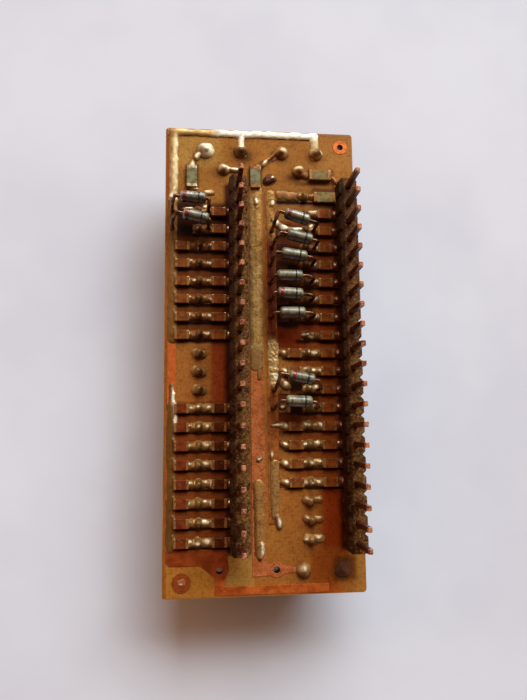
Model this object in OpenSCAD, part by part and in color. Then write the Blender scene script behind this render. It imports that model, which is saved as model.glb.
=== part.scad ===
// Plug-in circuit module with a 40-pin DIP footprint, lying component side down.
// Origin: on the surface that the module lies on, under the centre of the board.
// +Z is up, +Y runs along the board. Millimetres.

/* [Board] */
// Board width, across the pin rows
board_w = 27.4; // [27:0.1:29]
// Board length, along the pin rows
board_l = 65.4; // [64.8:0.1:70]
// Board thickness
board_t = 1.6; // [1.2:0.1:2.4]
// Radius of the board's corners
board_corner_r = 0.5; // [0.2:0.1:1.5]
// Thickness of the copper lands
land_t = 0.1; // [0.05:0.01:0.15]

/* [Pin rows] */
// Pins in each row
row_count = 20; // [20:1:20]
// Distance between pins along a row
pitch = 2.54; // [2.4:0.02:2.54]
// Distance between the two rows of a pair
row_span = 15.24; // [15:0.02:15.4]
// Centre of the header rows, across the board
plug_x = 4.05; // [3.9:0.05:4.2]
// Centre of the pin rows, along the board
plug_y = -1.5; // [-2:0.1:-1]

/* [Header] */
// Length of a header pin
pin_l = 11.6; // [9:0.1:14]
// Side of the square header pin
pin_w = 0.64; // [0.5:0.02:0.7]
// Depth of the pin in the board
pin_sink = 1.2; // [0.6:0.1:1.2]
// Hole in the board for a header pin
pin_hole_d = 1.05; // [1:0.05:1.2]
// Gap between the board and the header strip
strip_gap = 2.2; // [1.6:0.1:3]
// Height of the header strip
strip_h = 2.54; // [1.8:0.02:4]
// Width of the header strip
strip_w = 2.54; // [2.2:0.02:2.8]
// Depth of the notches between the strip's cells
strip_notch = 0.4; // [0.2:0.05:0.6]

/* [Device] */
// Offset of the device's centre from the header rows' centre
device_offset = -5.38; // [-5.5:0.02:-5.2]
// Length of the moulded body
body_l = 52.3; // [51:0.1:53]
// Width of the moulded body
body_w = 13.7; // [12.8:0.1:14]
// Thickness of the moulded body
body_t = 3.8; // [3:0.1:4.4]
// Draft of the body's sides, as an inset at the faces
body_draft = 0.35; // [0.1:0.05:0.6]
// Radius of the notch that marks the first lead
notch_r = 1.4; // [0.8:0.1:2]
// Thickness of a lead
lead_t = 0.25; // [0.2:0.01:0.3]
// Width of a lead's shoulder
shoulder_w = 1.4; // [1:0.05:1.6]
// Width of a lead's tip
tip_w = 0.46; // [0.36:0.02:0.6]
// Length of a lead's tip below its shoulder
tip_l = 3.2; // [2.4:0.1:3.4]
// Gap between the body and the socket
body_gap = 0.5; // [0.3:0.05:1]

/* [Socket] */
// Height of the socket's frame
frame_h = 4.2; // [3.9:0.1:5]
// Height of the frame's feet on the board
foot_h = 0.5; // [0.3:0.05:0.8]
// Diameter of a foot
foot_d = 1.6; // [1:0.1:2]
// Width of each rail of the frame
rail_w = 3.6; // [3:0.1:3.8]
// Width of the frame's crossbars
bar_w = 1.8; // [1.2:0.1:2.4]
// Drop of the crossbars below the frame's face
bar_drop = 1.2; // [0.4:0.1:2]
// Thickness of a contact's leaves
leaf_t = 0.2; // [0.12:0.01:0.24]
// Width of a contact's leaves
leaf_w = 1; // [0.7:0.05:1.2]
// Height of a contact's base
contact_base_h = 0.3; // [0.2:0.05:0.4]
// Width of a contact's tail
tail_w = 0.5; // [0.3:0.02:0.56]
// Length of a contact's tail past the board
tail_proud = 0.7; // [0.4:0.1:1]
// Hole in the board for a tail or a lead
lead_hole_d = 0.9; // [0.8:0.05:1]

/* [Small resistors] */
// Length of a small chip resistor
chip_l = 2; // [1.8:0.05:2.1]
// Width of a small chip resistor
chip_w = 1.25; // [0.9:0.05:1.4]
// Thickness of a small chip resistor
chip_t = 0.55; // [0.4:0.05:0.7]
// Length of a small resistor's end cap
cap_l = 0.35; // [0.2:0.05:0.45]
// Gap from a device lead to a series resistor
series_gap = 1.8; // [1.6:0.05:1.9]
// Gap from a left device lead to a bus resistor
bus_gap_left = 1.3; // [1.2:0.05:1.4]
// Gap from a right device lead to a bus resistor
bus_gap_right = 0.9; // [0.85:0.05:1]

/* [Large resistors] */
// Length of a large chip resistor
big_chip_l = 3.2; // [2.8:0.05:3.4]
// Width of a large chip resistor
big_chip_w = 1.45; // [1.3:0.05:1.7]
// Thickness of a large chip resistor
big_chip_t = 0.6; // [0.4:0.05:0.8]
// Length of a large resistor's end cap
big_cap_l = 0.45; // [0.3:0.05:0.6]

/* [Copper] */
// Width of the row lands
land_w = 1.3; // [1.2:0.05:1.4]
// Radius of the round land at a pin or lead
land_r = 0.85; // [0.8:0.02:0.95]
// Width of the left bus
left_bus_w = 1.15; // [0.9:0.05:1.3]
// Width of the centre bus next to the left header row
wide_bus_w = 1.9; // [1.6:0.1:2]
// Width of the centre bus on the right
slim_bus_w = 1.5; // [1.2:0.1:1.6]
// Gap between the two centre buses
bus_split = 0.4; // [0.3:0.05:0.6]
// Width of the top bus
top_bus_w = 0.9; // [0.6:0.05:1.1]

/* [Solder] */
// Height of a solder joint at a device lead
joint_h = 1; // [0.9:0.05:1.4]
// Height of a solder joint at a header pin
pin_joint_h = 1.2; // [0.8:0.1:1.5]
// Height of the solder between two resistors
bead_h = 0.42; // [0.25:0.01:0.5]
// Height of the tinning on the buses
tinning_h = 0.22; // [0.12:0.01:0.3]

/* [Diodes] */
// Diameter of a diode's glass body
glass_d = 1.6; // [1.2:0.05:1.7]
// Length of a diode's glass body
glass_l = 3.6; // [3:0.1:3.8]
// Diameter of a diode's lead
wire_d = 0.5; // [0.4:0.02:0.56]

/* [Hidden side] */
// Diameter of a transistor's body
transistor_d = 4.6; // [4:0.1:4.8]
// Height of a transistor's body
transistor_h = 4.6; // [4:0.1:5]
// Gap between a transistor and the board
transistor_gap = 2; // [1.6:0.1:2.6]
// Spread of a transistor's outer leads
transistor_spread = 5.08; // [4.6:0.02:5.2]
// Offset of a transistor's middle lead
transistor_step = 2.8; // [2.54:0.02:2.9]
// Side of a transistor's square lead
transistor_lead = 0.45; // [0.35:0.01:0.5]
// Diameter of the disc capacitor
disc_d = 5.4; // [4.6:0.1:6]
// Thickness of the disc capacitor
disc_t = 2.4; // [1.8:0.1:2.6]
// Gap between the disc capacitor and the board
disc_gap = 1.6; // [1.2:0.1:2.4]
// Spread of the capacitor's leads
disc_spread = 5.3; // [5.08:0.02:5.4]

/* [Wire holes] */
// Diameter of the unused holes
spare_hole_d = 0.9; // [0.8:0.05:1]
// Diameter of the ring land at the top right hole
ring_d = 2.1; // [1.8:0.05:2.4]
// Diameter of the ring land at the filled hole
filled_ring_d = 2.5; // [2:0.05:2.7]

/* [Hidden] */
$fn = 40;

// Levels above the surface that the module lies on
socket_z = body_t + body_gap;
board_z = socket_z + frame_h + foot_h;
face_z = board_z + board_t;
land_z = face_z + land_t;
pin_z = face_z - pin_sink;
strip_z = face_z + strip_gap;
lead_z = body_t / 2;
transistor_top = board_z - transistor_gap;

// Places in the plug frame: origin midway between the header rows, on the board's face
header_x = [-row_span / 2, row_span / 2];
device_x = [device_offset - row_span / 2, device_offset + row_span / 2];
board_top = board_l / 2 - plug_y;
board_bottom = -board_l / 2 - plug_y;
function row_y(k) = ((row_count + 1) / 2 - k) * pitch;
rows_top = row_y(1);
rows_bottom = row_y(row_count);

// Clearances: copper to the board's edge, bus past its last row, a bead inside its land,
// a drill past the faces, the lead's bend past the body
edge_margin = 0.15;
bus_tail = 0.95;
bead_margin = 0.1;
through = 1;
lead_clearance = 0.6;

// Sizes of both kinds of chip resistor
chip_size = [chip_l, chip_w, chip_t];
big_chip_size = [big_chip_l, big_chip_w, big_chip_t];

// Small resistors: middle of each column
bus_chip_left_x = device_x[0] - bus_gap_left - chip_l / 2;
bus_chip_right_x = device_x[1] - bus_gap_right - chip_l / 2;
series_chip_left_x = device_x[0] + series_gap + chip_l / 2;
series_chip_right_x = device_x[1] + series_gap + chip_l / 2;
bus_rows_left = [4, 5, 6, 7, 8, 9, 13, 14, 15, 16, 17, 18, 19, 20];
bus_rows_right = [10, 11, 14, 15, 16, 17];
series_rows_left = [2, 3, 4, 5, 6, 7, 8, 9, 13, 14, 15, 16, 17, 18, 19, 20];
series_rows_right = [2, 3, 4, 5, 6, 7, 8, 9, 10, 11, 12, 13, 14, 15, 16, 17];

// Buses: the left one reaches under the bus resistors' caps
left_bus_edge = bus_chip_left_x - chip_l / 2 + cap_l / 2;
left_bus_x = left_bus_edge - left_bus_w / 2;
slim_bus_edge = -2;
slim_bus_x = slim_bus_edge - slim_bus_w / 2;
wide_bus_x = slim_bus_edge - slim_bus_w - bus_split - wide_bus_w / 2;
top_bus_y = board_top - edge_margin - top_bus_w / 2;
top_bus_start = left_bus_x - left_bus_w / 2 - 0.2;
top_bus_end = 4.35;
spur_w = 0.8;
wide_bus_ends = [rows_bottom - 2.07, rows_top + 1.47];
slim_bus_ends = [rows_bottom + 2.13, rows_top + 0.87];

// Tinned stretches of the buses, between which the copper is bare
left_bus_tinned = [
    [rows_bottom - 0.7, row_y(12) + 0.6],
    [row_y(9) - 0.6, rows_top - 0.53],
    [rows_top - 0.13, top_bus_y - top_bus_w / 2]
];
wide_bus_tinned = [[wide_bus_ends[0] + 0.2, row_y(17)], [row_y(11) + 0.8, wide_bus_ends[1] - 0.65]];
slim_bus_tinned = [slim_bus_ends[0] + 0.1, slim_bus_ends[1] - 0.2];

// Lead joints near the top and the bottom edge
transistor_x = [-9.5, 1.55];
transistor_y = board_top - 3.3;
disc_x = 3.8;
disc_y = board_bottom + 3.1;
via_at = [-2.7, rows_top + 2.67];
lead_holes = [
    for (x = transistor_x, side = [-1, 1]) [x + side * transistor_spread / 2, transistor_y],
    for (x = transistor_x) [x, transistor_y - transistor_step],
    for (side = [-1, 1]) [disc_x + side * disc_spread / 2, disc_y]
];
lead_joint_r = [1.2, 1, 1, 1, 0.95, 1, 1, 1.1];
spare_holes = [[7.8, board_top - 2.1], [-10.2, board_bottom + 3.4], [-2.55, board_bottom + 3.3]];
filled_hole = [-15.2, board_bottom + 2];

// Large resistors: two upright ones, one across and one in the first row, with the turn of each
first_chip_x = 5.2;
left_chip = [-14, rows_top + 2.67];
bus_chip = [wide_bus_x - 0.05, rows_top + 2.77];
cross_chip = [4.6, rows_top + 3.37];
large_chips = [
    [left_chip[0], left_chip[1], 90], [bus_chip[0], bus_chip[1], 90],
    [cross_chip[0], cross_chip[1], 0], [first_chip_x, rows_top, 0]
];
half_chip = big_chip_l / 2;
fillet_l = 0.3;
fillet_h = 0.35;

// Traces between the large resistors, the lead joints and the first row
trace_w = 0.9;
traces = [
    [lead_holes[0], left_chip + [0.5, half_chip + 1.6], left_chip + [0, half_chip]],
    [left_chip - [0, half_chip - 0.1], [left_chip[0] + 0.5, rows_top]],
    [lead_holes[4], lead_holes[4] + [2, 0.1], [header_x[0], rows_top]],
    [lead_holes[2], bus_chip + [0.4, half_chip + 0.3]],
    [lead_holes[5], cross_chip - [half_chip - 0.2, -0.1]],
    [cross_chip + [half_chip - 0.2, -0.1], cross_chip + [half_chip + 1, -1.3], [header_x[1], rows_top]]
];

// Diodes: device row, middle of the glass, height over the board, turn and foot of each lead
glass_end_r = 0.35;
stub_share = 0.45;
knee_share = 0.4;
wire_joint_r = 0.4;
wire_joint_h = 0.5;
diodes_left = [
    [2, -13.8, 22.6, 3.1, -4, -16.7, -11.65],
    [3, -13.4, 19.9, 3.1, -12, -16.7, -11.65]
];
diodes_right = [
    [3, 0.5, 19.8, 4.1, -17, -2.6, 3.4],
    [4, 0.9, 17.1, 3.6, -13, -2.6, 3.5],
    [5, 0.1, 14.6, 3.4, -8, -2.9, 3.1],
    [6, -0.5, 11.7, 3.1, 0, -2.9, 2.95],
    [7, -0.5, 9.2, 3.1, -3, -2.9, 2.95],
    [8, -0.2, 6.5, 3.1, 0, -2.9, 2.95],
    [12, 0.9, -2.4, 3.1, -11, -2.6, 3.5],
    [13, 0.5, -5.6, 2.8, -3, -2.7, 3.2]
];

module on_plug() {
    translate([plug_x, plug_y, 0]) children();
}

// A block centred on x and y, standing on z
module block(x, y, z, size) {
    translate([x - size[0] / 2, y - size[1] / 2, z]) cube(size);
}

module rounded_plate(size, r) {
    union() {
        square([size[0] - 2 * r, size[1]], center = true);
        square([size[0], size[1] - 2 * r], center = true);
        for (sx = [-1, 1], sy = [-1, 1])
            translate([sx * (size[0] / 2 - r), sy * (size[1] / 2 - r)]) circle(r);
    }
}

// Section of a bead of solder: a flat-bottomed circular segment
module bead_section(w, h) {
    r = (w * w / 4 + h * h) / (2 * h);
    intersection() {
        translate([0, h - r]) circle(r, $fn = 96);
        translate([-w / 2, 0]) square([w, h]);
    }
}

// A bead along X from x0 to x1
module bead_x(x0, x1, y, w, h) {
    translate([x0, y, land_z]) rotate([90, 0, 90]) linear_extrude(x1 - x0) bead_section(w, h);
}

// A bead along Y from y0 to y1
module bead_y(x, y0, y1, w, h) {
    translate([x, y1, land_z]) rotate([90, 0, 0]) linear_extrude(y1 - y0) bead_section(w, h);
}

// A solder fillet that climbs a lead: wide foot, narrow neck
module joint(x, y, r, h, neck) {
    steps = 4;
    profile = [
        [0, 0],
        for (i = [0:steps]) [neck + (r - neck) * pow(1 - i / steps, 2), h * i / steps],
        [0, h]
    ];
    translate([x, y, land_z]) rotate_extrude() polygon(profile);
}

module board() {
    color("peru") difference() {
        translate([0, 0, board_z]) linear_extrude(board_t)
            rounded_plate([board_w, board_l], board_corner_r);
        on_plug() all_holes();
    }
}

module all_holes() {
    for (k = [1:row_count]) {
        for (x = header_x) hole(x, row_y(k), pin_hole_d);
        for (x = device_x) hole(x, row_y(k), lead_hole_d);
    }
    for (p = lead_holes) hole(p[0], p[1], lead_hole_d);
    for (p = spare_holes) hole(p[0], p[1], spare_hole_d);
    hole(via_at[0], via_at[1], lead_hole_d);
    hole(filled_hole[0], filled_hole[1], lead_hole_d);
}

module hole(x, y, d) {
    translate([x, y, board_z - through]) cylinder(d = d, h = board_t + land_t + 2 * through);
}

module land_block(x0, x1, y0, y1) {
    translate([x0, y0, face_z]) cube([x1 - x0, y1 - y0, land_t]);
}

module land_disc(x, y, r) {
    translate([x, y, face_z]) cylinder(r = r, h = land_t);
}

module land_outline(points) {
    translate([0, 0, face_z]) linear_extrude(land_t) polygon(points);
}

module left_bus() {
    color("chocolate") on_plug()
        land_block(left_bus_x - left_bus_w / 2, left_bus_edge, rows_bottom - bus_tail, top_bus_y - top_bus_w / 2);
}

module top_bus() {
    color("wheat") on_plug() difference() {
        union() {
            land_block(top_bus_start, top_bus_end, top_bus_y - top_bus_w / 2, top_bus_y + top_bus_w / 2);
            for (i = [1, 3]) {
                p = lead_holes[i];
                land_block(p[0] - spur_w / 2, p[0] + spur_w / 2, p[1], top_bus_y);
                land_disc(p[0], p[1], lead_joint_r[i]);
            }
        }
        for (i = [1, 3]) hole(lead_holes[i][0], lead_holes[i][1], lead_hole_d);
    }
}

module wide_centre_bus() {
    p = spare_holes[2];
    hole_patch_r = 1.05;
    x0 = wide_bus_x - wide_bus_w / 2;
    x1 = wide_bus_x + wide_bus_w / 2;
    color("chocolate") on_plug() difference() {
        union() {
            land_block(x0, x1, wide_bus_ends[0], wide_bus_ends[1]);
            land_disc(p[0], p[1], hole_patch_r);
            land_outline([
                [x0, wide_bus_ends[0]], [x1, wide_bus_ends[0]], [x1, p[1] + 0.8], [p[0], p[1] + 0.7],
                [p[0] + 2.6, p[1] + 0.25], [p[0] + 2.6, p[1] - 0.35], [p[0], p[1] - 0.7], [x0, p[1] - 0.8]
            ]);
        }
        hole(p[0], p[1], spare_hole_d);
    }
}

module slim_centre_bus() {
    color("chocolate") on_plug()
        land_block(slim_bus_edge - slim_bus_w, slim_bus_edge, slim_bus_ends[0], slim_bus_ends[1]);
}

module bottom_land() {
    p = spare_holes[1];
    x0 = left_bus_x - left_bus_w / 2;
    y0 = rows_bottom - bus_tail;
    edge = board_bottom + edge_margin + 0.1;
    color("sienna") on_plug() difference() {
        land_outline([
            [x0, y0], [-9.2, y0], [p[0] + 1.3, p[1]], [p[0] + 0.7, p[1] - 1.2],
            [p[0] + 0.7, edge + 1.1], [4.5, edge + 1.1], [4.5, edge],
            [p[0] - 0.65, edge], [p[0] - 0.65, p[1] - 0.8], [-12.8, y0 - 2],
            [x0 + 0.5, y0 - 2], [x0, y0 - 1.5]
        ]);
        hole(p[0], p[1], spare_hole_d);
    }
}

// Lands of one device row: pad from the bus resistor to the series resistor, then to the pin
module row_land(side, k) {
    y = row_y(k);
    x = device_x[side];
    has_series = side == 0 ? in_list(k, series_rows_left) : in_list(k, series_rows_right);
    has_bus = side == 0 ? in_list(k, bus_rows_left) : in_list(k, bus_rows_right);
    bus_end = side == 0 ? x - bus_gap_left - cap_l : x - bus_gap_right - cap_l;
    has_wire = side == 1 && is_diode_row(k);
    first = side == 0 && is_left_diode_row(k) ? x - land_r : has_bus ? bus_end : x - land_r;
    big = side == 1 && k == 1;
    near = big ? first_chip_x - big_chip_l / 2 + big_cap_l : x + series_gap + cap_l;
    far = big ? first_chip_x + big_chip_l / 2 - big_cap_l : x + series_gap + chip_l - cap_l;
    last = has_series || big ? near : x + land_r;
    difference() {
        union() {
            land_block(first, last, y - land_w / 2, y + land_w / 2);
            land_disc(header_x[side], y, land_r);
            if (has_series || big) land_block(far, header_x[side], y - land_w / 2, y + land_w / 2);
            if (side == 1 && (has_bus || has_wire))
                land_block(slim_bus_edge, bus_chip_right_x - chip_l / 2 + cap_l, y - land_w / 2, y + land_w / 2);
        }
        hole(x, y, lead_hole_d);
        hole(header_x[side], y, pin_hole_d);
    }
}

function in_list(k, list) = len([for (v = list) if (v == k) v]) > 0;
function is_diode_row(k) = in_list(k, [for (d = diodes_right) d[0]]);
function is_left_diode_row(k) = in_list(k, [for (d = diodes_left) d[0]]);

module row_lands_left() {
    color("peru") on_plug() for (k = [1:row_count]) row_land(0, k);
}

module row_lands_right() {
    color("peru") on_plug() for (k = [1:row_count]) row_land(1, k);
}

// A straight trace with round ends
module trace(a, b) {
    run = b - a;
    translate([a[0], a[1], face_z]) rotate([0, 0, atan2(run[1], run[0])])
        translate([0, -trace_w / 2, 0]) cube([norm(run), trace_w, land_t]);
    for (p = [a, b]) land_disc(p[0], p[1], trace_w / 2);
}

// Space of the first row's lands and of the centre bus, which the traces meet edge to edge
module first_row_space() {
    z = face_z - through;
    h = 2 * through;
    for (x = header_x) translate([x, rows_top, z]) cylinder(r = land_r, h = h);
    for (x = device_x) block(x, rows_top, z, [2 * land_r, land_w, h]);
    block(first_chip_x, rows_top, z, [big_chip_l + 2, max(big_chip_w, land_w) + 0.1, h]);
    block(wide_bus_x, wide_bus_ends[1] - through, z, [wide_bus_w, 2 * through, h]);
}

module lead_lands() {
    color("wheat") on_plug() difference() {
        union() {
            for (i = [0, 2, 4, 5, 6, 7]) land_disc(lead_holes[i][0], lead_holes[i][1], lead_joint_r[i]);
            land_disc(spare_holes[0][0], spare_holes[0][1], ring_d / 2);
            land_disc(filled_hole[0], filled_hole[1], filled_ring_d / 2);
            land_disc(via_at[0], via_at[1], land_r);
            for (path = traces, i = [1:len(path) - 1]) trace(path[i - 1], path[i]);
            large_places() for (side = [-1, 1]) translate([side * (big_chip_l - big_cap_l) / 2, 0, 0])
                block(0, 0, face_z, [big_cap_l + 2 * fillet_l, big_chip_w, land_t]);
        }
        all_holes();
        first_row_space();
    }
}

// Tinning on the buses: the bare stretches are left out
module bus_tinning() {
    color("khaki") on_plug() difference() {
        bus_beads();
        foot_space(diodes_left);
        foot_space(diodes_right);
    }
}

module bus_beads() {
    union() {
        for (part = left_bus_tinned)
            bead_y(left_bus_x - cap_l / 4, part[0], part[1], left_bus_w - cap_l / 2, tinning_h);
        bead_x(top_bus_start + 0.2, top_bus_end - 0.2, top_bus_y, top_bus_w - bead_margin, tinning_h * 2);
        for (part = wide_bus_tinned)
            bead_y(wide_bus_x, part[0], part[1], wide_bus_w - 2 * bead_margin, tinning_h);
        bead_y(slim_bus_x, slim_bus_tinned[0], slim_bus_tinned[1], slim_bus_w - 2 * bead_margin, tinning_h);
    }
}

// Solder of one row: a bead between the resistors and a fillet up the device's lead
module row_solder(side, k) {
    y = row_y(k);
    x = device_x[side];
    has_series = side == 0 ? in_list(k, series_rows_left) : in_list(k, series_rows_right);
    has_bus = side == 0 ? in_list(k, bus_rows_left) : in_list(k, bus_rows_right);
    first = x - (side == 0 ? bus_gap_left : bus_gap_right);
    bead_w = land_w - bead_margin;
    difference() {
        union() {
            joint(x, y, land_r - bead_margin / 2, joint_h, tail_w * 0.7);
            if (side == 1 && k == 1) bead_x(x, first_chip_x - half_chip, y, bead_w, bead_h);
            if (has_bus) bead_x(first, x, y, bead_w, bead_h);
            if (has_series) bead_x(x, x + series_gap, y, bead_w, bead_h);
        }
        block(x, y, face_z - through, [lead_t, tail_w, through + land_t + tail_proud]);
        foot_space(side == 0 ? diodes_left : diodes_right);
    }
}

// Solder of a header pin, with a bead that reaches the series resistor
module pin_solder(side, k) {
    y = row_y(k);
    x = header_x[side];
    has_series = side == 0 ? in_list(k, series_rows_left) : in_list(k, series_rows_right);
    big = side == 1 && k == 1;
    bead_start = big ? first_chip_x + half_chip : device_x[side] + series_gap + chip_l;
    difference() {
        union() {
            joint(x, y, land_r - bead_margin / 2, pin_joint_h, pin_w * 0.75);
            if (has_series || big) bead_x(bead_start, x, y, land_w - bead_margin, bead_h);
        }
        block(x, y, pin_z, [pin_w, pin_w, pin_l]);
    }
}

module row_solder_left() {
    color("tan") on_plug() for (k = [1:row_count]) row_solder(0, k);
}

module row_solder_right() {
    color("tan") on_plug() for (k = [1:row_count]) row_solder(1, k);
}

module header_solder_left() {
    color("tan") on_plug() for (k = [1:row_count]) pin_solder(0, k);
}

module header_solder_right() {
    color("tan") on_plug() for (k = [1:row_count]) pin_solder(1, k);
}

module lead_joints() {
    color("ivory") on_plug() difference() {
        union() {
            for (i = [0:len(lead_holes) - 1])
                joint(lead_holes[i][0], lead_holes[i][1], lead_joint_r[i] - bead_margin / 2, joint_h, 0.42);
            joint(via_at[0], via_at[1], land_r - bead_margin / 2, joint_h / 2, 0.3);
            joint(filled_hole[0], filled_hole[1], lead_hole_d * 0.8, bead_h / 2, 0.2);
            cap_fillets();
        }
        for (p = lead_holes)
            block(p[0], p[1], face_z - through, [transistor_lead, transistor_lead, through + land_t + tail_proud]);
    }
}

// Solder at both ends of the large resistors that stand clear of the rows
module cap_fillets() {
    for (c = [large_chips[0], large_chips[1], large_chips[2]], side = [0, 180])
        translate([c[0], c[1], land_z]) rotate([0, 0, c[2] + side]) translate([half_chip, 0, 0])
            rotate([90, 0, 0]) linear_extrude(big_chip_w - bead_margin, center = true)
                polygon([[0, 0], [fillet_l, 0], [fillet_l / 3, fillet_h / 2], [0, fillet_h]]);
}

// A header strip is a row of eight-sided cells with a notch between each two
module header_strip(side) {
    half = strip_w / 2;
    neck = half - strip_notch;
    corner = pitch / 2 - strip_notch;
    right = [
        for (k = [row_count:-1:1], p = [[neck, -pitch / 2], [half, -corner], [half, corner], [neck, pitch / 2]])
            [p[0], row_y(k) + p[1]]
    ];
    left = [for (i = [len(right) - 1:-1:0]) [-right[i][0], right[i][1]]];
    translate([header_x[side], 0, strip_z]) difference() {
        linear_extrude(strip_h) polygon(concat(right, left));
        for (k = [1:row_count]) block(0, row_y(k), -through, [pin_w, pin_w, strip_h + 2 * through]);
    }
}

// A square pin with a chamfered tip
module header_pin(x, y) {
    chamfer = pin_w / 4;
    intersection() {
        block(x, y, pin_z, [pin_w, pin_w, pin_l]);
        translate([x - pin_w / 2, y, pin_z]) rotate([90, 0, 0]) linear_extrude(pin_w, center = true) polygon([
            [0, 0], [pin_w, 0], [pin_w, pin_l - chamfer * 1.5], [pin_w - chamfer, pin_l],
            [chamfer, pin_l], [0, pin_l - chamfer * 1.5]
        ]);
    }
}

module header_strip_left() {
    color("dimgray") on_plug() header_strip(0);
}

module header_strip_right() {
    color("dimgray") on_plug() header_strip(1);
}

module header_pins_left() {
    color("rosybrown") on_plug() for (k = [1:row_count]) header_pin(header_x[0], row_y(k));
}

module header_pins_right() {
    color("rosybrown") on_plug() for (k = [1:row_count]) header_pin(header_x[1], row_y(k));
}

// Everything on the device's axis
module on_device() {
    translate([plug_x + device_offset, plug_y, 0]) children();
}

// Section of the moulded body: a flat band at the leads and drafted faces
module draft_section(w) {
    half = w / 2;
    band = lead_t;
    polygon([
        [-half + body_draft, 0], [half - body_draft, 0], [half, body_t / 2 - band],
        [half, body_t / 2 + band], [half - body_draft, body_t], [-half + body_draft, body_t],
        [-half, body_t / 2 + band], [-half, body_t / 2 - band]
    ]);
}

module device_body() {
    notch_depth = 1;
    color("darkslategray") on_device() difference() {
        intersection() {
            rotate([90, 0, 0]) linear_extrude(body_l + 2 * through, center = true) draft_section(body_w);
            rotate([90, 0, 90]) linear_extrude(body_w + 2 * through, center = true) draft_section(body_l);
        }
        translate([0, body_l / 2, -through]) cylinder(r = notch_r, h = through + notch_depth);
    }
}

// One lead: out of the body's side, bent up, a shoulder on the socket and a slim tip.
// A body that is wide for its rows bends the lead back in above the body.
module device_lead(y) {
    half = row_span / 2;
    straight = half >= body_w / 2 + lead_clearance;
    out = (straight ? half : body_w / 2 + lead_clearance) + lead_t / 2;
    in = out - lead_t;
    low = lead_z - lead_t / 2;
    bend = lead_t;
    top = straight ? [[in, socket_z]]
        : [[half - lead_t / 2, socket_z], [half - lead_t / 2, socket_z - lead_t], [in, socket_z - lead_t]];
    translate([0, y, 0]) {
        rotate([90, 0, 0]) linear_extrude(shoulder_w, center = true) polygon(concat(
            [[body_w / 2, low], [out - bend, low], [out, low + bend], [out, socket_z]],
            top, [[in, low + lead_t], [body_w / 2, low + lead_t]]
        ));
        block(half, 0, socket_z, [lead_t, tip_w, tip_l]);
    }
}

module device_leads_left() {
    color("silver") on_device() mirror([1, 0, 0]) for (k = [1:row_count]) device_lead(row_y(k));
}

module device_leads_right() {
    color("silver") on_device() for (k = [1:row_count]) device_lead(row_y(k));
}

// Ladder frame: two rails, four crossbars, a cavity for each contact, feet on the board
module socket_frame() {
    cavity = [lead_t + 2 * leaf_t, leaf_w];
    frame_l = row_count * pitch;
    rail_out = 1.2;
    rail_x = row_span / 2 - rail_w / 2 + rail_out;
    foot_x = rail_x - 1;
    bar_h = frame_h - bar_drop;
    bar_y = frame_l / 2 - bar_w / 2;
    color("black") on_device() difference() {
        union() {
            for (side = [-1, 1]) block(side * rail_x, 0, socket_z, [rail_w, frame_l, frame_h]);
            for (y = [-bar_y, -bar_y / 3, bar_y / 3, bar_y])
                block(0, y, socket_z + bar_drop, [2 * rail_x, bar_w, bar_h]);
            for (side = [-1, 1], y = [-9, 0, 9] * pitch)
                translate([side * foot_x, y, socket_z + frame_h / 2]) cylinder(d = foot_d, h = frame_h / 2 + foot_h);
        }
        for (side = [-1, 1], k = [1:row_count])
            block(side * row_span / 2, row_y(k), socket_z - through, [cavity[0], cavity[1], frame_h + 2 * through]);
    }
}

// A contact: two leaves that grip the lead's tip, a base and a tail through the board
module socket_contact(x, y) {
    base_z = socket_z + frame_h - contact_base_h;
    leaf_drop = 0.6;
    leaf_z = socket_z + leaf_drop;
    for (side = [-1, 1])
        block(x + side * (lead_t + leaf_t) / 2, y, leaf_z, [leaf_t, leaf_w, base_z - leaf_z]);
    block(x, y, base_z, [lead_t + 2 * leaf_t, leaf_w, contact_base_h]);
    block(x, y, socket_z + frame_h, [lead_t, tail_w, foot_h + board_t + land_t + tail_proud]);
}

module socket_contacts_left() {
    color("gold") on_device() for (k = [1:row_count]) union() socket_contact(-row_span / 2, row_y(k));
}

module socket_contacts_right() {
    color("gold") on_device() for (k = [1:row_count]) union() socket_contact(row_span / 2, row_y(k));
}

// Ceramic of a chip resistor between its end caps, along X
module chip_body(size, cap) {
    block(0, 0, land_z, [size[0] - 2 * cap, size[1], size[2]]);
}

module chip_caps(size, cap) {
    for (side = [-1, 1]) block(side * (size[0] - cap) / 2, 0, land_z, [cap, size[1], size[2]]);
}

module column(x, rows) {
    for (k = rows) translate([x, row_y(k), 0]) children();
}

module bus_resistors_left() {
    color("saddlebrown") on_plug() column(bus_chip_left_x, bus_rows_left) chip_body(chip_size, cap_l);
}

module bus_resistor_caps_left() {
    color("tan") on_plug() column(bus_chip_left_x, bus_rows_left) chip_caps(chip_size, cap_l);
}

module series_resistors_left() {
    color("black") on_plug() column(series_chip_left_x, series_rows_left) chip_body(chip_size, cap_l);
}

module series_resistor_caps_left() {
    color("tan") on_plug() column(series_chip_left_x, series_rows_left) chip_caps(chip_size, cap_l);
}

module bus_resistors_right() {
    color("saddlebrown") on_plug() column(bus_chip_right_x, bus_rows_right) chip_body(chip_size, cap_l);
}

module bus_resistor_caps_right() {
    color("tan") on_plug() column(bus_chip_right_x, bus_rows_right) chip_caps(chip_size, cap_l);
}

module series_resistors_right() {
    color("black") on_plug() column(series_chip_right_x, series_rows_right) chip_body(chip_size, cap_l);
}

module series_resistor_caps_right() {
    color("tan") on_plug() column(series_chip_right_x, series_rows_right) chip_caps(chip_size, cap_l);
}

module large_places() {
    for (c = large_chips) translate([c[0], c[1], 0]) rotate([0, 0, c[2]]) children();
}

module large_resistors() {
    color("darkseagreen") on_plug() large_places() chip_body(big_chip_size, big_cap_l);
}

module large_resistor_caps() {
    color("tan") on_plug() large_places() chip_caps(big_chip_size, big_cap_l);
}

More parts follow.
